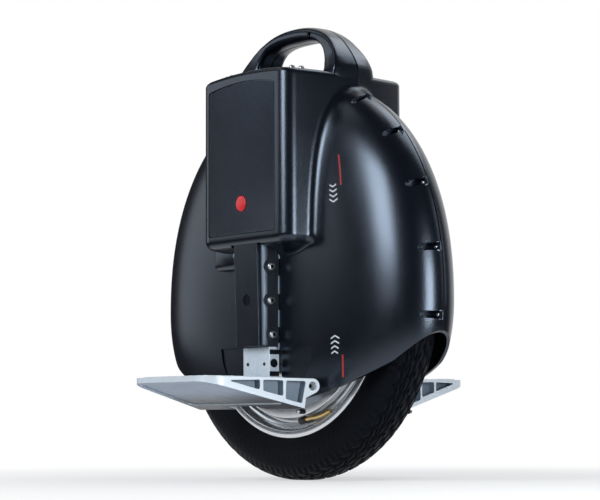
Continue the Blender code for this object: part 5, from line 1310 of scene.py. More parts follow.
class UNICYCLE_OT_bolts(bpy.types.Operator):
    """Build the domed bolts with hexagon sockets in the frames' front and rear faces"""

    bl_idname = "unicycle.bolts"
    bl_label = "Frame bolts"

    def execute(self, context):
        shade_discs = []
        for number, spot in enumerate(FRAME_BOLTS, 1):
            for side, end in ((-1, "front"), (1, "rear")):
                seat = side * (FRAME_HALF_LENGTH + GAP)
                bolt = socket_bolt("Y", spot, seat, side, *COLUMN_BOLT)
                name, stands_for = f"column_bolt_{end}_{number}", f"frame_bolt_{end}_{number}"
                place_pair(name, bolt, "screw steel", "bolt_steel", replaced=[stands_for])
                # A dark disc inside each bolt's socket is painted shade.
                span = sorted((seat + side * 0.0008, seat + side * 0.0019))
                shade_discs.append(rod("Y", spot, 0.0021, *span, 18, 0.0001))
        place_pair("socket_grime", joined(*shade_discs), "soft rubber", "black_rubber")
        return {"FINISHED"}


class UNICYCLE_OT_hinges(bpy.types.Operator):
    """Build the bright hinge blocks with their pins, shafts and small front screws"""

    bl_idname = "unicycle.hinges"
    bl_label = "Pedal hinges"

    def execute(self, context):
        axis = (HINGE_X, HINGE_Z)
        past = HINGE_HALF_LENGTH + PAST
        holes = [rod("Y", axis, SHAFT_RADIUS + GAP, -past, past)]
        holes.append(rod("Y", PIN_AT, PIN_RADIUS + GAP, -past, past))
        block = carved(self.block(), joined(*holes))
        place_pair("hinge_body", block, "block aluminium", "bright_aluminium", replaced=["hinge_block"])
        pin = self.socket_rod(PIN_AT, PIN_RADIUS, PIN_HALF_LENGTH, 0.005)
        place_pair("hinge_cross_pin", pin, "dark bolt steel", "bolt_steel", replaced=["hinge_pin"])
        shaft = self.socket_rod(axis, SHAFT_RADIUS, SHAFT_HALF_LENGTH, 0.0045)
        place_pair("pedal_shaft", shaft, "screw steel", "steel", replaced=["hinge_shaft"])
        # A dark disc inside each of the shaft's sockets is painted shade.
        low, high = SHAFT_HALF_LENGTH - 0.0034, SHAFT_HALF_LENGTH - 0.0008
        shade_discs = [rod("Y", axis, 0.0022, *span, 18, 0.0001) for span in ((-high, -low), (low, high))]
        place_pair("shaft_grime", joined(*shade_discs), "soft rubber", "black_rubber")
        screws = []
        for y in (-HINGE_FRONT_SCREW, HINGE_FRONT_SCREW):
            screws.append(socket_bolt("X", (y, HINGE_Z + 0.0255), HINGE_FRONT - 0.0001, 1, *HINGE_SCREW))
        place_pair("hinge_front_screws", joined(*screws), "dark bolt steel", "bolt_steel")
        place_pair("hinge_side_pieces", joined(*self.side_pieces()), "soft rubber", "bolt_steel")
        return {"FINISHED"}

    def block(self):
        """Block round the shaft's eye, with a flat front and a slightly rounded crown."""
        inner, crown = TONGUE_OUTER + GAP, FRAME_BOTTOM - GAP
        turn = np.linspace(-np.pi / 2, math.acos((HINGE_FRONT - HINGE_X) / HINGE_EYE_RADIUS), 24)
        arc = circle((HINGE_X, HINGE_Z), HINGE_EYE_RADIUS, turn)
        corners = [(HINGE_FRONT, HINGE_Z + 0.03), (HINGE_FRONT, crown), (inner, crown)]
        top = outline_of(corners, [0, 0.0018, 0])
        outline = np.vstack([[(inner, HINGE_Z - HINGE_EYE_RADIUS)], arc, top[1:]])
        return slab(outline, "Y", -HINGE_HALF_LENGTH, HINGE_HALF_LENGTH, 0.0006, 0.0006)

    def side_pieces(self):
        """Two bars and a socket screw on each end of the block."""
        pieces = []
        for side in (-1, 1):
            start, seat = side * (HINGE_HALF_LENGTH - 0.0004), side * (HINGE_HALF_LENGTH + 0.0009)
            for span in HINGE_BAR_SPANS:
                across = (TONGUE_OUTER + 2 * GAP, HINGE_BAR_OUTER)
                pieces.append(box(across, sorted((start, seat)), span, 0.0004, 0.0008))
            steps = ((0, 0.0047), (0.0006, 0.0041), (0.0006, 0.0027), (-0.0004, 0.0025), (-0.0004, 0.0003))
            head = [(start, 0.0003), (start, 0.0047)] + stepped(seat, side, steps)
            pieces.append(lathe(head, "Y", HINGE_SIDE_SCREW, 36, shape=hexagon(0.005, [4, 5])))
        return pieces

    def socket_rod(self, centre, radius, end, key):
        """Round rod with a hexagon socket and a chamfer at both ends."""
        half = [(end - 0.0035, 0.0003), (end - 0.003, key / 2), (end, key / 2)]
        half += [(end, radius - 0.0005), (end - 0.0005, radius)]
        profile = half + [(-along, reach) for along, reach in half[::-1]]
        count = len(profile)
        return lathe(profile, "Y", centre, 36, shape=hexagon(key, [1, 2, count - 3, count - 2]))


# Pedals.


def pedal_side(x):
    """Half width of a pedal at a distance from the middle plane."""
    return PEDAL_HALF_WIDTH - PEDAL_TAPER * (x - HINGE_X)


def pedal_deck(x):
    """Height of a pedal's flat top."""
    return HINGE_Z + PEDAL_BARREL + PEDAL_DECK_RISE * (x - HINGE_X) / (PEDAL_REACH - HINGE_X)


def pedal_underside(x):
    """Height of a pedal's slanting underside."""
    slope = (PEDAL_TIP_FOOT[1] - PEDAL_WEB_FOOT[1]) / (PEDAL_TIP_FOOT[0] - PEDAL_WEB_FOOT[0])
    return PEDAL_WEB_FOOT[1] + slope * (x - PEDAL_WEB_FOOT[0])


def pedal_plan(start, margin, root=0.004):
    """Plan outline of a pedal from a start line to the tip, drawn in by a margin."""
    end = PEDAL_REACH - margin
    near, far = pedal_side(start) - margin, pedal_side(end) - margin
    corner = PEDAL_CORNER - margin
    corners = [(start, -near), (end, -far), (end, far), (start, near)]
    return outline_of(corners, [root, corner, corner, root], 14)


class UNICYCLE_OT_pedals(bpy.types.Operator):
    """Build the cast folding pedals with side windows, underside plates and stop bumpers"""

    bl_idname = "unicycle.pedals"
    bl_label = "Pedals"

    def execute(self, context):
        pedal = self.casting()
        finish = self.finish_of(pedal)
        looks = ["cast aluminium", "underside coating", "window coating"]
        options = {"replaced": ["pedal"], "bevel": 0.0006}
        for piece in place_pair("pedal_casting", pedal, looks, "bright_aluminium", PEDAL_BODIES, **options):
            piece.data.polygons.foreach_set("material_index", finish)
        bumper = [(0.0725, 0.0003), (0.0725, 0.0026), (0.079, 0.0026), (0.0798, 0.0022), (0.0798, 0.0003)]
        bumper = lathe(bumper, "X", BUMPER_AT, 28)
        place_pair("stop_bumper", bumper, "soft rubber", "black_plastic", PEDAL_BODIES)
        nut = [(0.0795, 0.0003), (0.0795, 0.002), (0.0825, 0.002), (0.0829, 0.0016), (0.0829, 0.0003)]
        nut = lathe(nut, "X", BUMPER_AT, 24, shape=hexagon(0.0036, [1, 2]))
        place_pair("bumper_nut", nut, "screw steel", "steel", PEDAL_BODIES)
        return {"FINISHED"}

    def finish_of(self, pedal):
        """Number of each face's finish: 1 on the sunken underside, 2 inside the windows with painted shade, 0
        elsewhere.
        """
        fields = []
        for name in ("center", "normal"):
            values = np.empty(len(pedal.polygons) * 3)
            pedal.polygons.foreach_get(name, values)
            fields.append(values.reshape(-1, 3).T)
        (x, y, z), normal = fields
        y = np.abs(y)
        offset = z - pedal_underside(x)
        floor = (offset > -0.0002) & (offset < UNDER_DEPTH + 0.0002) & (normal[2] < -0.9)
        # Faces inside the windows take the grey that paints their shade.
        inside = (y < pedal_side(x) - 0.0008) & (y > pedal_side(x) - WINDOW_DEPTH - 0.0006)
        inside &= (x > HINGE_X + 0.0080) & (x < HINGE_X + 0.099)
        inside &= (z < pedal_deck(x) - 0.0014) & (z > pedal_underside(x) + 0.0018)
        return (floor * 1 + inside * 2).astype(np.int32)

    def casting(self):
        """Plan outline and side outline of a pedal crossed, less notch, bore, eyes, windows and plates."""
        axis = (HINGE_X, HINGE_Z)
        start = HINGE_X - PEDAL_BARREL - PAST
        low, high = PEDAL_WEB_FOOT[1] - PAST, pedal_deck(PEDAL_REACH) + PAST
        half = pedal_side(start) + PAST
        away = np.array(PEDAL_WEB_BACK) - axis
        turn = math.atan2(away[1], away[0]) - math.acos(PEDAL_BARREL / np.hypot(*away))
        barrel = circle(axis, PEDAL_BARREL, np.linspace(turn, -1.5 * math.pi, 28))
        tip = pedal_deck(PEDAL_REACH)
        rest = [(PEDAL_REACH, tip), (PEDAL_REACH, tip - PEDAL_TIP_THICKNESS)]
        rest += [PEDAL_TIP_FOOT, PEDAL_WEB_FOOT, PEDAL_WEB_BACK]
        body = slab(pedal_plan(start, 0, 0), "Z", low, high)
        body = carved(body, slab(np.vstack([barrel, rest]), "Y", -half, half), "INTERSECT")
        width = PEDAL_NOTCH_HALF_WIDTH
        body = carved(body, box((start - PAST, PEDAL_NOTCH_REACH), (-width, width), (low, high), 0.0, 0.003))
        depth = pedal_side(HINGE_X) - PEDAL_EYE_DEPTH
        cuts = [rod("Y", axis, PEDAL_EYE_RADIUS, side * depth, side * half) for side in (-1, 1)]
        for window in PEDAL_WINDOWS:
            radii = [WINDOW_CORNER, WINDOW_POINT, WINDOW_CORNER] if len(window) == 3 else WINDOW_CORNER
            outline = outline_of([(HINGE_X + out, HINGE_Z + up) for out, up in window], radii)
            for side in (-1, 1):
                inside = side * (pedal_side(outline[:, 0]) - WINDOW_DEPTH)
                outside = side * (pedal_side(outline[:, 0]) + PAST)
                cuts.append(slab(outline, "Y", inside, outside))
        pocket = pedal_plan(GRIP_PAD_START - GAP, GRIP_PAD_MARGIN - GAP)
        deck = pedal_deck(pocket[:, 0])
        cuts.append(slab(pocket, "Z", deck - GRIP_PAD_SINK - GAP, deck + PAST))
        under = pedal_plan(UNDER_START, UNDER_MARGIN, UNDER_CORNER)
        under[:, 0] = np.minimum(under[:, 0], PEDAL_TIP_FOOT[0] - 0.004)
        floor = pedal_underside(under[:, 0])
        cuts.append(slab(under, "Z", floor - PAST, floor + UNDER_DEPTH))
        body = carved(body, joined(*cuts))
        return carved(body, rod("Y", axis, SHAFT_RADIUS + GAP, -half, half))


class UNICYCLE_OT_grips(bpy.types.Operator):
    """Build the studded grip plates on the pedals' decks"""

    bl_idname = "unicycle.grips"
    bl_label = "Pedal grips"

    def execute(self, context):
        outline = pedal_plan(GRIP_PAD_START, GRIP_PAD_MARGIN)
        deck = pedal_deck(outline[:, 0])
        plate = slab(outline, "Z", deck - GRIP_PAD_SINK, deck + GRIP_PAD_RISE, 0.0001, 0.0005)
        plate = joined(plate, self.studs())
        place_pair("grip_plate", plate, "cast aluminium", "bright_aluminium", PEDAL_BODIES, ["pedal_grip"])
        return {"FINISHED"}

    def studs(self):
        """Low round studs on a staggered grid: one eight-sided cone frustum, shifted to each place."""
        step = sizes().stud_spacing
        row, column = np.meshgrid(np.arange(12), np.arange(-10, 11), indexing="ij")
        x = GRIP_PAD_START + 0.008 + row * step
        y = (column + 0.5 * (row % 2)) * step
        keep = np.abs(y) < pedal_side(x) - GRIP_PAD_MARGIN - 0.006
        keep &= x < PEDAL_REACH - GRIP_PAD_MARGIN - 0.004
        past_x = np.maximum(x - (PEDAL_REACH - PEDAL_CORNER), 0)
        past_y = np.maximum(np.abs(y) - (pedal_side(x) - PEDAL_CORNER), 0)
        keep &= np.hypot(past_x, past_y) < PEDAL_CORNER - GRIP_PAD_MARGIN - 0.003
        x, y = x[keep], y[keep]
        turn = np.linspace(0, 2 * np.pi, 8, endpoint=False)
        radius = np.array([0.0026, 0.0024, 0.0016])[:, None]
        rise = np.array([-0.0004, 0.0, sizes().stud_height])[:, None] * np.ones(8)
        ring = np.stack([radius * np.cos(turn), radius * np.sin(turn), rise], -1).reshape(-1, 3)
        base = np.stack([x, y, pedal_deck(x) + GRIP_PAD_RISE], -1)
        first = 24 * np.arange(len(x))[:, None, None]
        faces = [(block + first).reshape(-1, block.shape[-1]) for block in map(np.array, ring_faces(3, 8))]
        return mesh_of(base[:, None, :] + ring[None, :, :], faces)


# Wheel.


def tread_radius(x):
    """Radius of the plain tread at a distance from the tyre's middle, on the super-ellipse section."""
    share = np.maximum(1 - (np.abs(x) / TYRE_HALF_WIDTH) ** TYRE_SQUARENESS, 0)
    return TYRE_RADIUS + TYRE_SECTION / 2 * (share ** (1 / TYRE_SQUARENESS) - 1)


def fading(value, start, end):
    """Smooth fall from 1 at the start to 0 at the end."""
    share = np.clip((value - start) / (end - start), 0, 1)
    return 1 - share * share * (3 - 2 * share)


class UNICYCLE_OT_tyre(bpy.types.Operator):
    """Build the tyre with its grooved and cut tread and its marked sidewalls"""

    bl_idname = "unicycle.tyre"
    bl_label = "Tyre"

    def execute(self, context):
        # Section angles; at angle a the section is (cos a, sin a) to a power, used beyond the tread.
        angle = np.radians(np.concatenate([np.linspace(90, 22, 62), np.linspace(20, -50, 20)]))
        x = TYRE_HALF_WIDTH * np.abs(np.cos(angle)) ** (2 / TYRE_SQUARENESS)
        lift = np.sign(angle) * np.abs(np.sin(angle)) ** (2 / TYRE_SQUARENESS)
        radius = TYRE_RADIUS - TYRE_SECTION / 2 + TYRE_SECTION / 2 * lift
        tread, side = np.linspace(0, TREAD_EDGE, 58), x > TREAD_EDGE + 0.0001
        bead, seat = RIM_HALF_WIDTH - RIM_LIP - GAP, RIM_SEAT + RIM_LIP + GAP
        foot_x = [bead, bead, bead - 0.0042, bead - 0.0042]
        foot_r = [RIM_RADIUS + GAP, seat, seat, RIM_RADIUS + 0.003]
        half_x = np.concatenate([tread, x[side], foot_x, TYRE_INSIDE[0]])
        half_r = np.concatenate([tread_radius(tread), radius[side], foot_r, TYRE_INSIDE[1]])
        outer = np.arange(len(half_x)) < len(tread) + side.sum()
        section_x = np.concatenate([half_x, -half_x[:0:-1]])
        section_r, outer = (np.concatenate([part, part[:0:-1]]) for part in (half_r, outer))
        count = sizes().tread_pitches * 8
        turn = np.linspace(0, 2 * np.pi, count, endpoint=False)[:, None]
        depth, edge = self.tread_depth(section_x[None, :], section_r[None, :], turn)
        depth = depth * outer
        # Depth is taken square to the section, by the direction of its neighbours.
        ahead = [np.roll(part, -1) - np.roll(part, 1) for part in (section_x, section_r)]
        ahead = unit(np.stack(ahead, 1))
        reach_x = section_x[None, :] + depth * ahead[None, :, 1]
        reach_r = section_r[None, :] - depth * np.abs(ahead[None, :, 0])
        points = on_axis("X", reach_x, reach_r * np.sin(turn), AXLE_HEIGHT - reach_r * np.cos(turn))
        tyre = mesh_of(points, [quads(count, len(section_x), True, True)], edge * outer)
        place("tyre_casing", tyre, "tyre rubber", "tyre", "wheel", ["tyre"], sharp=50)
        return {"FINISHED"}

    def tread_depth(self, x, radius, turn):
        """Depth of the pattern: long grooves, staggered slanting cuts, shoulder slits and side dashes.

        Each mark fades with the distance to its line; the cuts run at a slant because the distance
        along the tread has a share of x added.
        """
        across = np.abs(x)
        along = turn * sizes().tread_pitches / (2 * np.pi)
        depth = np.zeros(np.broadcast(x, turn).shape)
        for line, width, sway in TREAD_GROOVES:
            swing = sway * (4 * np.abs((along + line * 90) % 1 - 0.5) - 1)
            groove = fading(np.abs(across - line - swing), width * 0.6, width * 1.4)
            depth = np.maximum(depth, sizes().groove_depth * groove)
        for low, high, slant, shift in TREAD_CUTS:
            phase = np.abs((along + across * slant + shift + 0.25 * np.sign(x)) % 1 - 0.5)
            here = (across > low) & (across < high)
            depth = np.maximum(depth, sizes().cut_depth * here * fading(phase, 0.1, 0.22))
        phase = np.abs((2 * along) % 1 - 0.5)
        shoulder = (across > SHOULDER_SLITS[0]) & (across < SHOULDER_SLITS[1]) & (radius > 0.185)
        depth = np.maximum(depth, SHOULDER_DEPTH * shoulder * fading(phase, 0.1, 0.3))
        dashes = (radius > SIDE_DASHES[0]) & (radius < SIDE_DASHES[1])
        depth = depth - DASH_RISE * dashes * fading(phase, 0.12, 0.3)
        for ring, width in SIDE_BEADS:
            depth = depth - BEAD_RISE * np.exp(-(((radius - ring) / width) ** 2))
        worn = (across < 0.019) * (radius > 0.19) * (depth < 0.0002)
        return depth, worn * 0.6


class UNICYCLE_OT_wheel(bpy.types.Operator):
    """Build the turned rim, the stepped motor covers and the bent tyre valve"""

    bl_idname = "unicycle.wheel"
    bl_label = "Rim, motor covers and valve"

    def execute(self, context):
        centre = (0, AXLE_HEIGHT)
        half = [(0.0145, WELL_RADIUS), (0.0168, 0.1424), (0.0172, 0.1462), (0.0188, 0.1478), (0.0205, 0.1496)]
        half += [(0.0218, 0.1512), (0.0220, 0.1520), (0.0220, 0.1583), (0.0216, 0.1590), (0.0204, 0.1592)]
        half += [(0.0199, 0.1588), (0.0198, 0.1540), (0.0194, 0.1534), (0.0152, 0.1532), (0.0145, 0.1525)]
        half += [(0.0112, 0.1482), (0.0100, 0.1470)]
        rim = lathe(half + [(-x, r) for x, r in half[::-1]], "X", centre, 180, loop=True)
        place("rim_body", rim, "turned aluminium", "bright_aluminium", "wheel", ["wheel_rim"])
        first, radius = COVER_INSIDE + COVER_EDGE, COVER_RADIUS
        profile = [(COVER_INSIDE, 0.1242), (COVER_INSIDE, radius), (first - 0.0008, radius)]
        profile += [(first - 0.0002, radius - 0.0004), (first, radius - 0.0012)]
        for count, share in enumerate(COVER_STEP_SHARES):
            radius, x = share * COVER_RADIUS, first + count * COVER_STEP
            profile += [(x, radius + 0.0042), (x - 0.0006, radius + 0.0034), (x - 0.0006, radius + 0.0022)]
            profile += [(x, radius + 0.0014), (x, radius), (x + 0.0004, radius - 0.0012)]
            profile += [(x + 0.0031, radius - 0.0048), (x + COVER_STEP, radius - 0.006)]
        last, hub, back = first + 3 * COVER_STEP, RIM_HALF_WIDTH - GAP, COVER_INSIDE + 0.0017
        profile += [(last, 0.0184), (last - 0.0006, 0.0178), (hub, 0.0178), (hub, 0.0143)]
        profile += [(back, 0.0143), (back, 0.1242)]
        cover = lathe(profile, "X", centre, 160, loop=True)
        bodies = ("wheel", "wheel")
        place_pair("motor_side", cover, "turned aluminium", "bright_aluminium", bodies, ["motor_cover"])
        self.valve()
        return {"FINISHED"}

    def valve(self):
        """Brass stem that comes out of the rim and bends along it, with a ribbed cap."""
        beside = -(RIM_HALF_WIDTH + 0.0008)
        path = curve_through([(beside - out, y, z) for out, y, z in VALVE_STOPS], 10)
        share = np.linspace(0, 1, len(path))
        radii = VALVE_RADIUS + 0.0005 * (share < 0.12) + 0.00012 * np.sin(share * 170) * (share > 0.55)
        place("valve_tube", tube(path, radii), "valve brass", "brass", "wheel", ["valve_stem"])
        along = [-0.0006, -0.0006, 0.0002, 0.0012, 0.0085, 0.0098, 0.0105, 0.0106]
        reach = [0.0003, 0.0034, 0.0043, 0.0043, 0.0041, 0.0036, 0.0026, 0.0003]
        cap = lathe(np.stack([along, reach], 1), "Y", (0, 0), 72, shape=self.ribs)
        ahead = Vector(unit(path[-1] - path[-4]))
        cap.transform(Vector((0, 1, 0)).rotation_difference(ahead).to_matrix().to_4x4())
        cap = shifted(cap, Vector(path[-1]))
        place("valve_top", cap, "black plastic", "black_plastic", "wheel", ["valve_cap"])

    def ribs(self, row, radius, turn):
        """Radius of the valve's cap, which varies with a cosine of the turn between its plain ends."""
        return radius + np.where((row > 1) & (row < 5), 0.00018, 0.0) * np.cos(turn * 12)


class UNICYCLE_OT_top_items(bpy.types.Operator):
    """Build the power button, the charge socket and its hinged cap"""

    bl_idname = "unicycle.top_items"
    bl_label = "Button and charge socket"

    def execute(self, context):
        top = BLOCK_TOP + 0.0025
        steps = [(-0.0082, 0.0003), (-0.0082, BUTTON_RADIUS), (-0.0008, BUTTON_RADIUS), (-0.0002, 0.0067)]
        steps += [(0, 0.0061), (-0.0001, 0.0048), (-0.0005, 0.0025), (-0.0006, 0.0003)]
        key = lathe(stepped(top, 1, steps), "Z", (TOP_ITEM_X, 0), 48)
        place("power_key", key, "black plastic", "black_plastic", "button", ["power_button"])
        top = BLOCK_TOP + 0.001
        steps = [(-0.018, 0.0003), (-0.018, SOCKET_RADIUS), (-0.0003, SOCKET_RADIUS), (0, 0.0087)]
        steps += [(0, 0.0064), (-0.0004, 0.006), (-0.011, 0.006), (-0.011, 0.0003)]
        socket = lathe(stepped(top, 1, steps), "Z", (-TOP_ITEM_X, 0), 48)
        place("socket_body", socket, "black plastic", "black_plastic", "case", ["charge_socket"])
        low = top + GAP
        steps = [(0, 0.0003), (0, 0.0104), (0.0005, 0.0105), (0.0015, 0.0104), (0.0019, 0.0099)]
        steps += [(0.002, 0.0085), (0.0018, 0.0003)]
        lid = lathe(stepped(low, 1, steps), "Z", (-TOP_ITEM_X, 0), 56)
        ends = (-TOP_ITEM_X - 0.005, -TOP_ITEM_X + 0.005)
        ear = box(ends, (0.006, LID_HINGE_Y), (low, low + 0.0019), 0.0003, 0.0003)
        barrel = rod("X", (LID_HINGE_Y, low + 0.0014), 0.0014, *ends, 24, 0.0003)
        lid = joined(lid, ear, barrel)
        place("socket_lid", lid, "soft rubber", "black_rubber", "socket_cap", ["charge_cap"])
        return {"FINISHED"}


class UNICYCLE_OT_screws(bpy.types.Operator):
    """Build the screws in the seam pockets, the handle and the tops of the side boxes"""

    bl_idname = "unicycle.screws"
    bl_label = "Case screws"

    def execute(self, context):
        heads = [socket_bolt("X", spot, POCKET_FLOOR, 1, *SEAM_SCREW) for spot in screw_places()]
        place("seam_screws", mirrored(joined(*heads)), "screw steel", "steel", "case")
        seat = HANDLE_HALF_WIDTH - HANDLE_SCREW_DEPTH
        screw = socket_bolt("X", HANDLE_SCREW, seat, 1, *GRIP_SCREW)
        place_pair("handle_screw", screw, "screw steel", "steel")
        tops = []
        for x, y, height in BOX_SCREWS:
            seat = block_top(y) - 0.0001
            tops.append(socket_bolt("Z", (x, y), seat, 1, 0.0033, height, 0.0014, 0.0025, 0.0022))
        place("box_top_screws", mirrored(joined(*tops)), "screw steel", "steel", "case")
        return {"FINISHED"}


class UNICYCLE_OT_markings(bpy.types.Operator):
    """Build the plain printed stripes and arrow marks on the case's front flanks"""

    bl_idname = "unicycle.markings"
    bl_label = "Printed marks"

    def execute(self, context):
        stripes = [self.ribbon(ends, sizes().stripe / 2) for ends in STRIPES]
        place_pair("red_stripes", joined(*stripes), "stripe print", "shell_plastic")
        marks = []
        for step in range(MARKS_IN_ROW):
            for turn, height, way in MARK_ROWS:
                arm = MARK_ARM + MARK_GROWTH * step
                marks += self.chevron(turn, height + way * MARK_STEP * step, arm, way)
        place_pair("arrow_marks", joined(*marks), "mark print", "shell_plastic")
        return {"FINISHED"}

    def on_case(self, turn, height, lift):
        """Points of the case's skin at plan angles and heights, lifted along the plan direction."""
        reach = case_reach(np.radians(turn), height) + lift
        x, y = reach * np.sin(np.radians(turn)), -reach * np.cos(np.radians(turn))
        return np.stack([x + GAP / 2, y, height], -1)

    def ribbon(self, ends, half_width, steps=24):
        """Thin closed strip between two places on the case, its width laid along the plan angle."""
        (turn_a, high), (turn_b, low) = ends
        share = np.linspace(0, 1, steps)[:, None]
        spread = np.degrees(half_width / 0.13) * np.linspace(-1, 1, 5)[None, :]
        turn = turn_a + (turn_b - turn_a) * share + spread
        height = (high + (low - high) * share) * np.ones_like(spread)
        return self.closed(turn, height)

    def chevron(self, turn, height, arm, way):
        """Two slanting arms that meet in a point."""
        share, thick = np.linspace(0, 1, 6)[:, None], np.linspace(-0.5, 0.5, 3)[None, :]
        level = height - way * share * arm + thick * MARK_WIDTH
        arms = [turn + side * share * np.degrees(arm / 0.125) * np.ones_like(thick) for side in (-1, 1)]
        return [self.closed(angle, level) for angle in arms]

    def closed(self, turn, height):
        """Top and bottom sheets just above and below the skin, joined round their rim."""
        sheets = [self.on_case(turn, height, lift).reshape(-1, 3) for lift in MARK_LIFTS]
        rows, columns = turn.shape
        count = rows * columns
        grid = np.arange(count).reshape(rows, columns)
        rim = np.concatenate([grid[0, :-1], grid[:-1, -1], grid[-1, :0:-1], grid[:0:-1, 0]])
        after = np.roll(rim, -1)
        faces = [quads(rows, columns), quads(rows, columns)[:, ::-1] + count]
        faces.append(np.stack([after, rim, rim + count, after + count], 1))
        return mesh_of(np.concatenate(sheets), faces)


class UNICYCLE_OT_inner_parts(bpy.types.Operator):
    """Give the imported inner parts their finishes"""

    bl_idname = "unicycle.inner_parts"
    bl_label = "Inner parts"

    finishes = {
        "battery wrap": ("battery_left", "battery_right"),
        "circuit board": ("control_board",),
        "block aluminium": ("heat_sink",),
        "black plastic": ("wheel_liner", "power_switch"),
        "soft rubber": ("inner_tube", "motor_cable"),
        "stator windings": ("stator",),
        "axle steel": ("rotor_ring", "bearing_left", "bearing_right", "axle")
        + ("axle_nut_left", "axle_nut_right"),
    }

    def execute(self, context):
        for finish, names in self.finishes.items():
            for name in names:
                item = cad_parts[name]
                for place_in in item.material_slots:
                    place_in.material = bpy.data.materials[finish]
        return {"FINISHED"}


class UNICYCLE_OT_finishes(bpy.types.Operator):
    """Build the shared node groups and every finish"""

    bl_idname = "unicycle.finishes"
    bl_label = "Finishes"

    def execute(self, context):
        build_groups()
        make_surfaces()
        return {"FINISHED"}


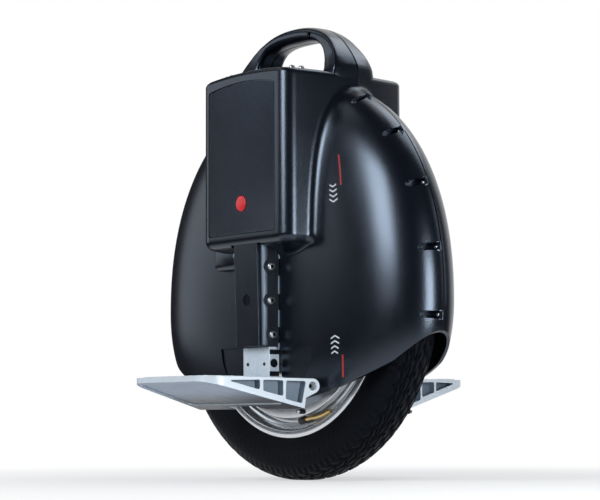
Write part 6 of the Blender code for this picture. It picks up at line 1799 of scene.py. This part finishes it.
class UNICYCLE_OT_stage(bpy.types.Operator):
    """Build the floor, the soft lamps, the world and the camera"""

    bl_idname = "unicycle.stage"
    bl_label = "Stage"

    def execute(self, context):
        self.floor()
        self.world()
        for lamp in LAMPS:
            self.lamp(*lamp)
        self.camera()
        context.scene.view_settings.view_transform = "Standard"
        return {"FINISHED"}

    def toward_back(self, tree, direction):
        """Share of the white background in a direction: 1 behind the object, 0 beside and before it."""
        level = vectors(tree, "NORMALIZE", vectors(tree, "MULTIPLY", direction, (1, 1, 0)))
        turn = math.radians(BACKGROUND_TURN)
        along = vectors(tree, "DOT_PRODUCT", level, (math.cos(turn), math.sin(turn), 0))
        return ranged(tree, along, 0.70, 0.96, smooth=True)

    def seen(self, tree):
        """1 for rays from the camera and for those that metal and glass send on."""
        path = node(tree, "ShaderNodeLightPath").outputs
        glossy = maths(tree, "MAXIMUM", path["Is Glossy Ray"], path["Is Transmission Ray"])
        return maths(tree, "MAXIMUM", path["Is Camera Ray"], glossy)

    def background(self, tree, lit):
        """White for the camera and where lit is 1, studio grey elsewhere."""
        lit = maths(tree, "MAXIMUM", lit, node(tree, "ShaderNodeLightPath").outputs["Is Camera Ray"])
        return mixed(tree, lit, STUDIO_GREY, WHITE)

    def floor(self):
        """Pale plain floor; where it is seen it turns into the white background away from the object."""
        made = bpy.data.materials.new("floor paper")
        made.use_nodes = True
        tree = made.node_tree
        tree.nodes.clear()
        place_at = node(tree, "ShaderNodeTexCoord").outputs["Object"]
        speckle = noise(tree, place_at, 300.0, 3.0)
        tone = mixed(tree, speckle, rgba((0.80, 0.80, 0.80)), rgba((0.84, 0.84, 0.84)))
        paper = node(tree, "ShaderNodeBsdfDiffuse", {"Color": tone}).outputs[0]
        far = vectors(tree, "LENGTH", place_at)
        near = ranged(tree, far, 0.35, 0.8, 1.0, 0.0, True)
        shown = self.background(tree, maths(tree, "MAXIMUM", self.toward_back(tree, place_at), near))
        white = node(tree, "ShaderNodeEmission", {"Color": shown, "Strength": 1.0}).outputs[0]
        share = maths(tree, "MULTIPLY", ranged(tree, far, 0.25, 0.9, 0.55, 1.0, True), self.seen(tree))
        mix = node(tree, "ShaderNodeMixShader", {0: share, 1: paper, 2: white}).outputs[0]
        node(tree, "ShaderNodeOutputMaterial", {"Surface": mix})
        mesh = bpy.data.meshes.new("floor")
        corners = [(x * FLOOR_SIZE, y * FLOOR_SIZE, 0) for x, y in ((-1, -1), (1, -1), (1, 1), (-1, 1))]
        mesh.from_pydata(corners, [], [(0, 1, 2, 3)])
        mesh.materials.append(made)
        self.linked("floor", mesh)

    def world(self):
        """Even grey light; where it is seen, white behind the object and studio grey in front."""
        world = bpy.data.worlds.new("studio")
        bpy.context.scene.world = world
        world.use_nodes = True
        tree = world.node_tree
        tree.nodes.clear()
        direction = node(tree, "ShaderNodeTexCoord").outputs["Generated"]
        shown = self.background(tree, self.toward_back(tree, direction))
        shown = mixed(tree, self.seen(tree), STUDIO_LIGHT, shown)
        background = node(tree, "ShaderNodeBackground", {"Color": shown, "Strength": 1.0})
        node(tree, "ShaderNodeOutputWorld", {"Surface": background.outputs[0]})

    def linked(self, name, data):
        """A new object in the scene."""
        item = bpy.data.objects.new(name, data)
        bpy.context.scene.collection.objects.link(item)
        return item

    def lamp(self, name, turn, rise, width, height, brightness, distance):
        """One soft rectangular lamp that faces the object, at a turn from +X and a rise in degrees."""
        turn, rise = math.radians(turn), math.radians(rise)
        way = Vector((math.cos(turn) * math.cos(rise), math.sin(turn) * math.cos(rise), math.sin(rise)))
        data = bpy.data.lights.new(name, "AREA")
        data.shape = "RECTANGLE"
        data.size, data.size_y = width, height
        data.energy = brightness * math.pi * width * height
        data.color = LAMP_COLOUR
        item = self.linked(name, data)
        item.location = Vector((0, 0, LAMP_TARGET)) + way * distance
        item.rotation_euler = (-way).to_track_quat("-Z", "Y").to_euler()

    def camera(self):
        """Camera at the photograph's angle, distance and lens."""
        turn, rise, roll = map(math.radians, CAMERA_ANGLES)
        back = Vector((math.sin(turn) * math.cos(rise), -math.cos(turn) * math.cos(rise), math.sin(rise)))
        right = Vector((math.cos(turn), math.sin(turn), 0))
        up = back.cross(right)
        turned_right = right * math.cos(roll) + up * math.sin(roll)
        turned_up = up * math.cos(roll) - right * math.sin(roll)
        data = bpy.data.cameras.new("camera")
        data.sensor_width = SENSOR_WIDTH
        data.lens = CAMERA_FOCUS * SENSOR_WIDTH
        item = self.linked("camera", data)
        spot = Vector((0, 0, CAMERA_HEIGHT)) - right * CAMERA_SHIFT + back * CAMERA_DISTANCE
        facing = Matrix((turned_right, turned_up, back)).transposed()
        item.matrix_world = Matrix.Translation(spot) @ facing.to_4x4()
        bpy.context.scene.camera = item


class UNICYCLE_PT_panel(bpy.types.Panel):
    """Sidebar panel that lists the sizes, the colours and the build steps"""

    bl_idname = "UNICYCLE_PT_panel"
    bl_label = "Electric unicycle"
    bl_space_type = "VIEW_3D"
    bl_region_type = "UI"
    bl_category = "Unicycle"

    def draw(self, context):
        for group in (context.scene.unicycle_sizes, context.scene.unicycle_colours):
            box_row = self.layout.box()
            for name in group.__annotations__:
                box_row.prop(group, name)
        for step in STEPS:
            self.layout.operator(step.bl_idname)


STEPS = (
    UNICYCLE_OT_finishes,
    UNICYCLE_OT_case,
    UNICYCLE_OT_leg_pads,
    UNICYCLE_OT_columns,
    UNICYCLE_OT_bolts,
    UNICYCLE_OT_hinges,
    UNICYCLE_OT_pedals,
    UNICYCLE_OT_grips,
    UNICYCLE_OT_tyre,
    UNICYCLE_OT_wheel,
    UNICYCLE_OT_top_items,
    UNICYCLE_OT_screws,
    UNICYCLE_OT_markings,
    UNICYCLE_OT_inner_parts,
    UNICYCLE_OT_stage,
)
CLASSES = (UnicycleSizes, UnicycleColours) + STEPS + (UNICYCLE_PT_panel,)


def register():
    """Register the classes and the scene's properties."""
    for one in CLASSES:
        bpy.utils.register_class(one)
    bpy.types.Scene.unicycle_sizes = PointerProperty(type=UnicycleSizes)
    bpy.types.Scene.unicycle_colours = PointerProperty(type=UnicycleColours)


def unregister():
    """Take the properties and classes away again."""
    del bpy.types.Scene.unicycle_colours
    del bpy.types.Scene.unicycle_sizes
    for one in reversed(CLASSES):
        bpy.utils.unregister_class(one)


def main():
    """Build every piece in order."""
    register()
    for step in STEPS:
        group, name = step.bl_idname.split(".")
        getattr(getattr(bpy.ops, group), name)()


if __name__ == "__main__":
    main()
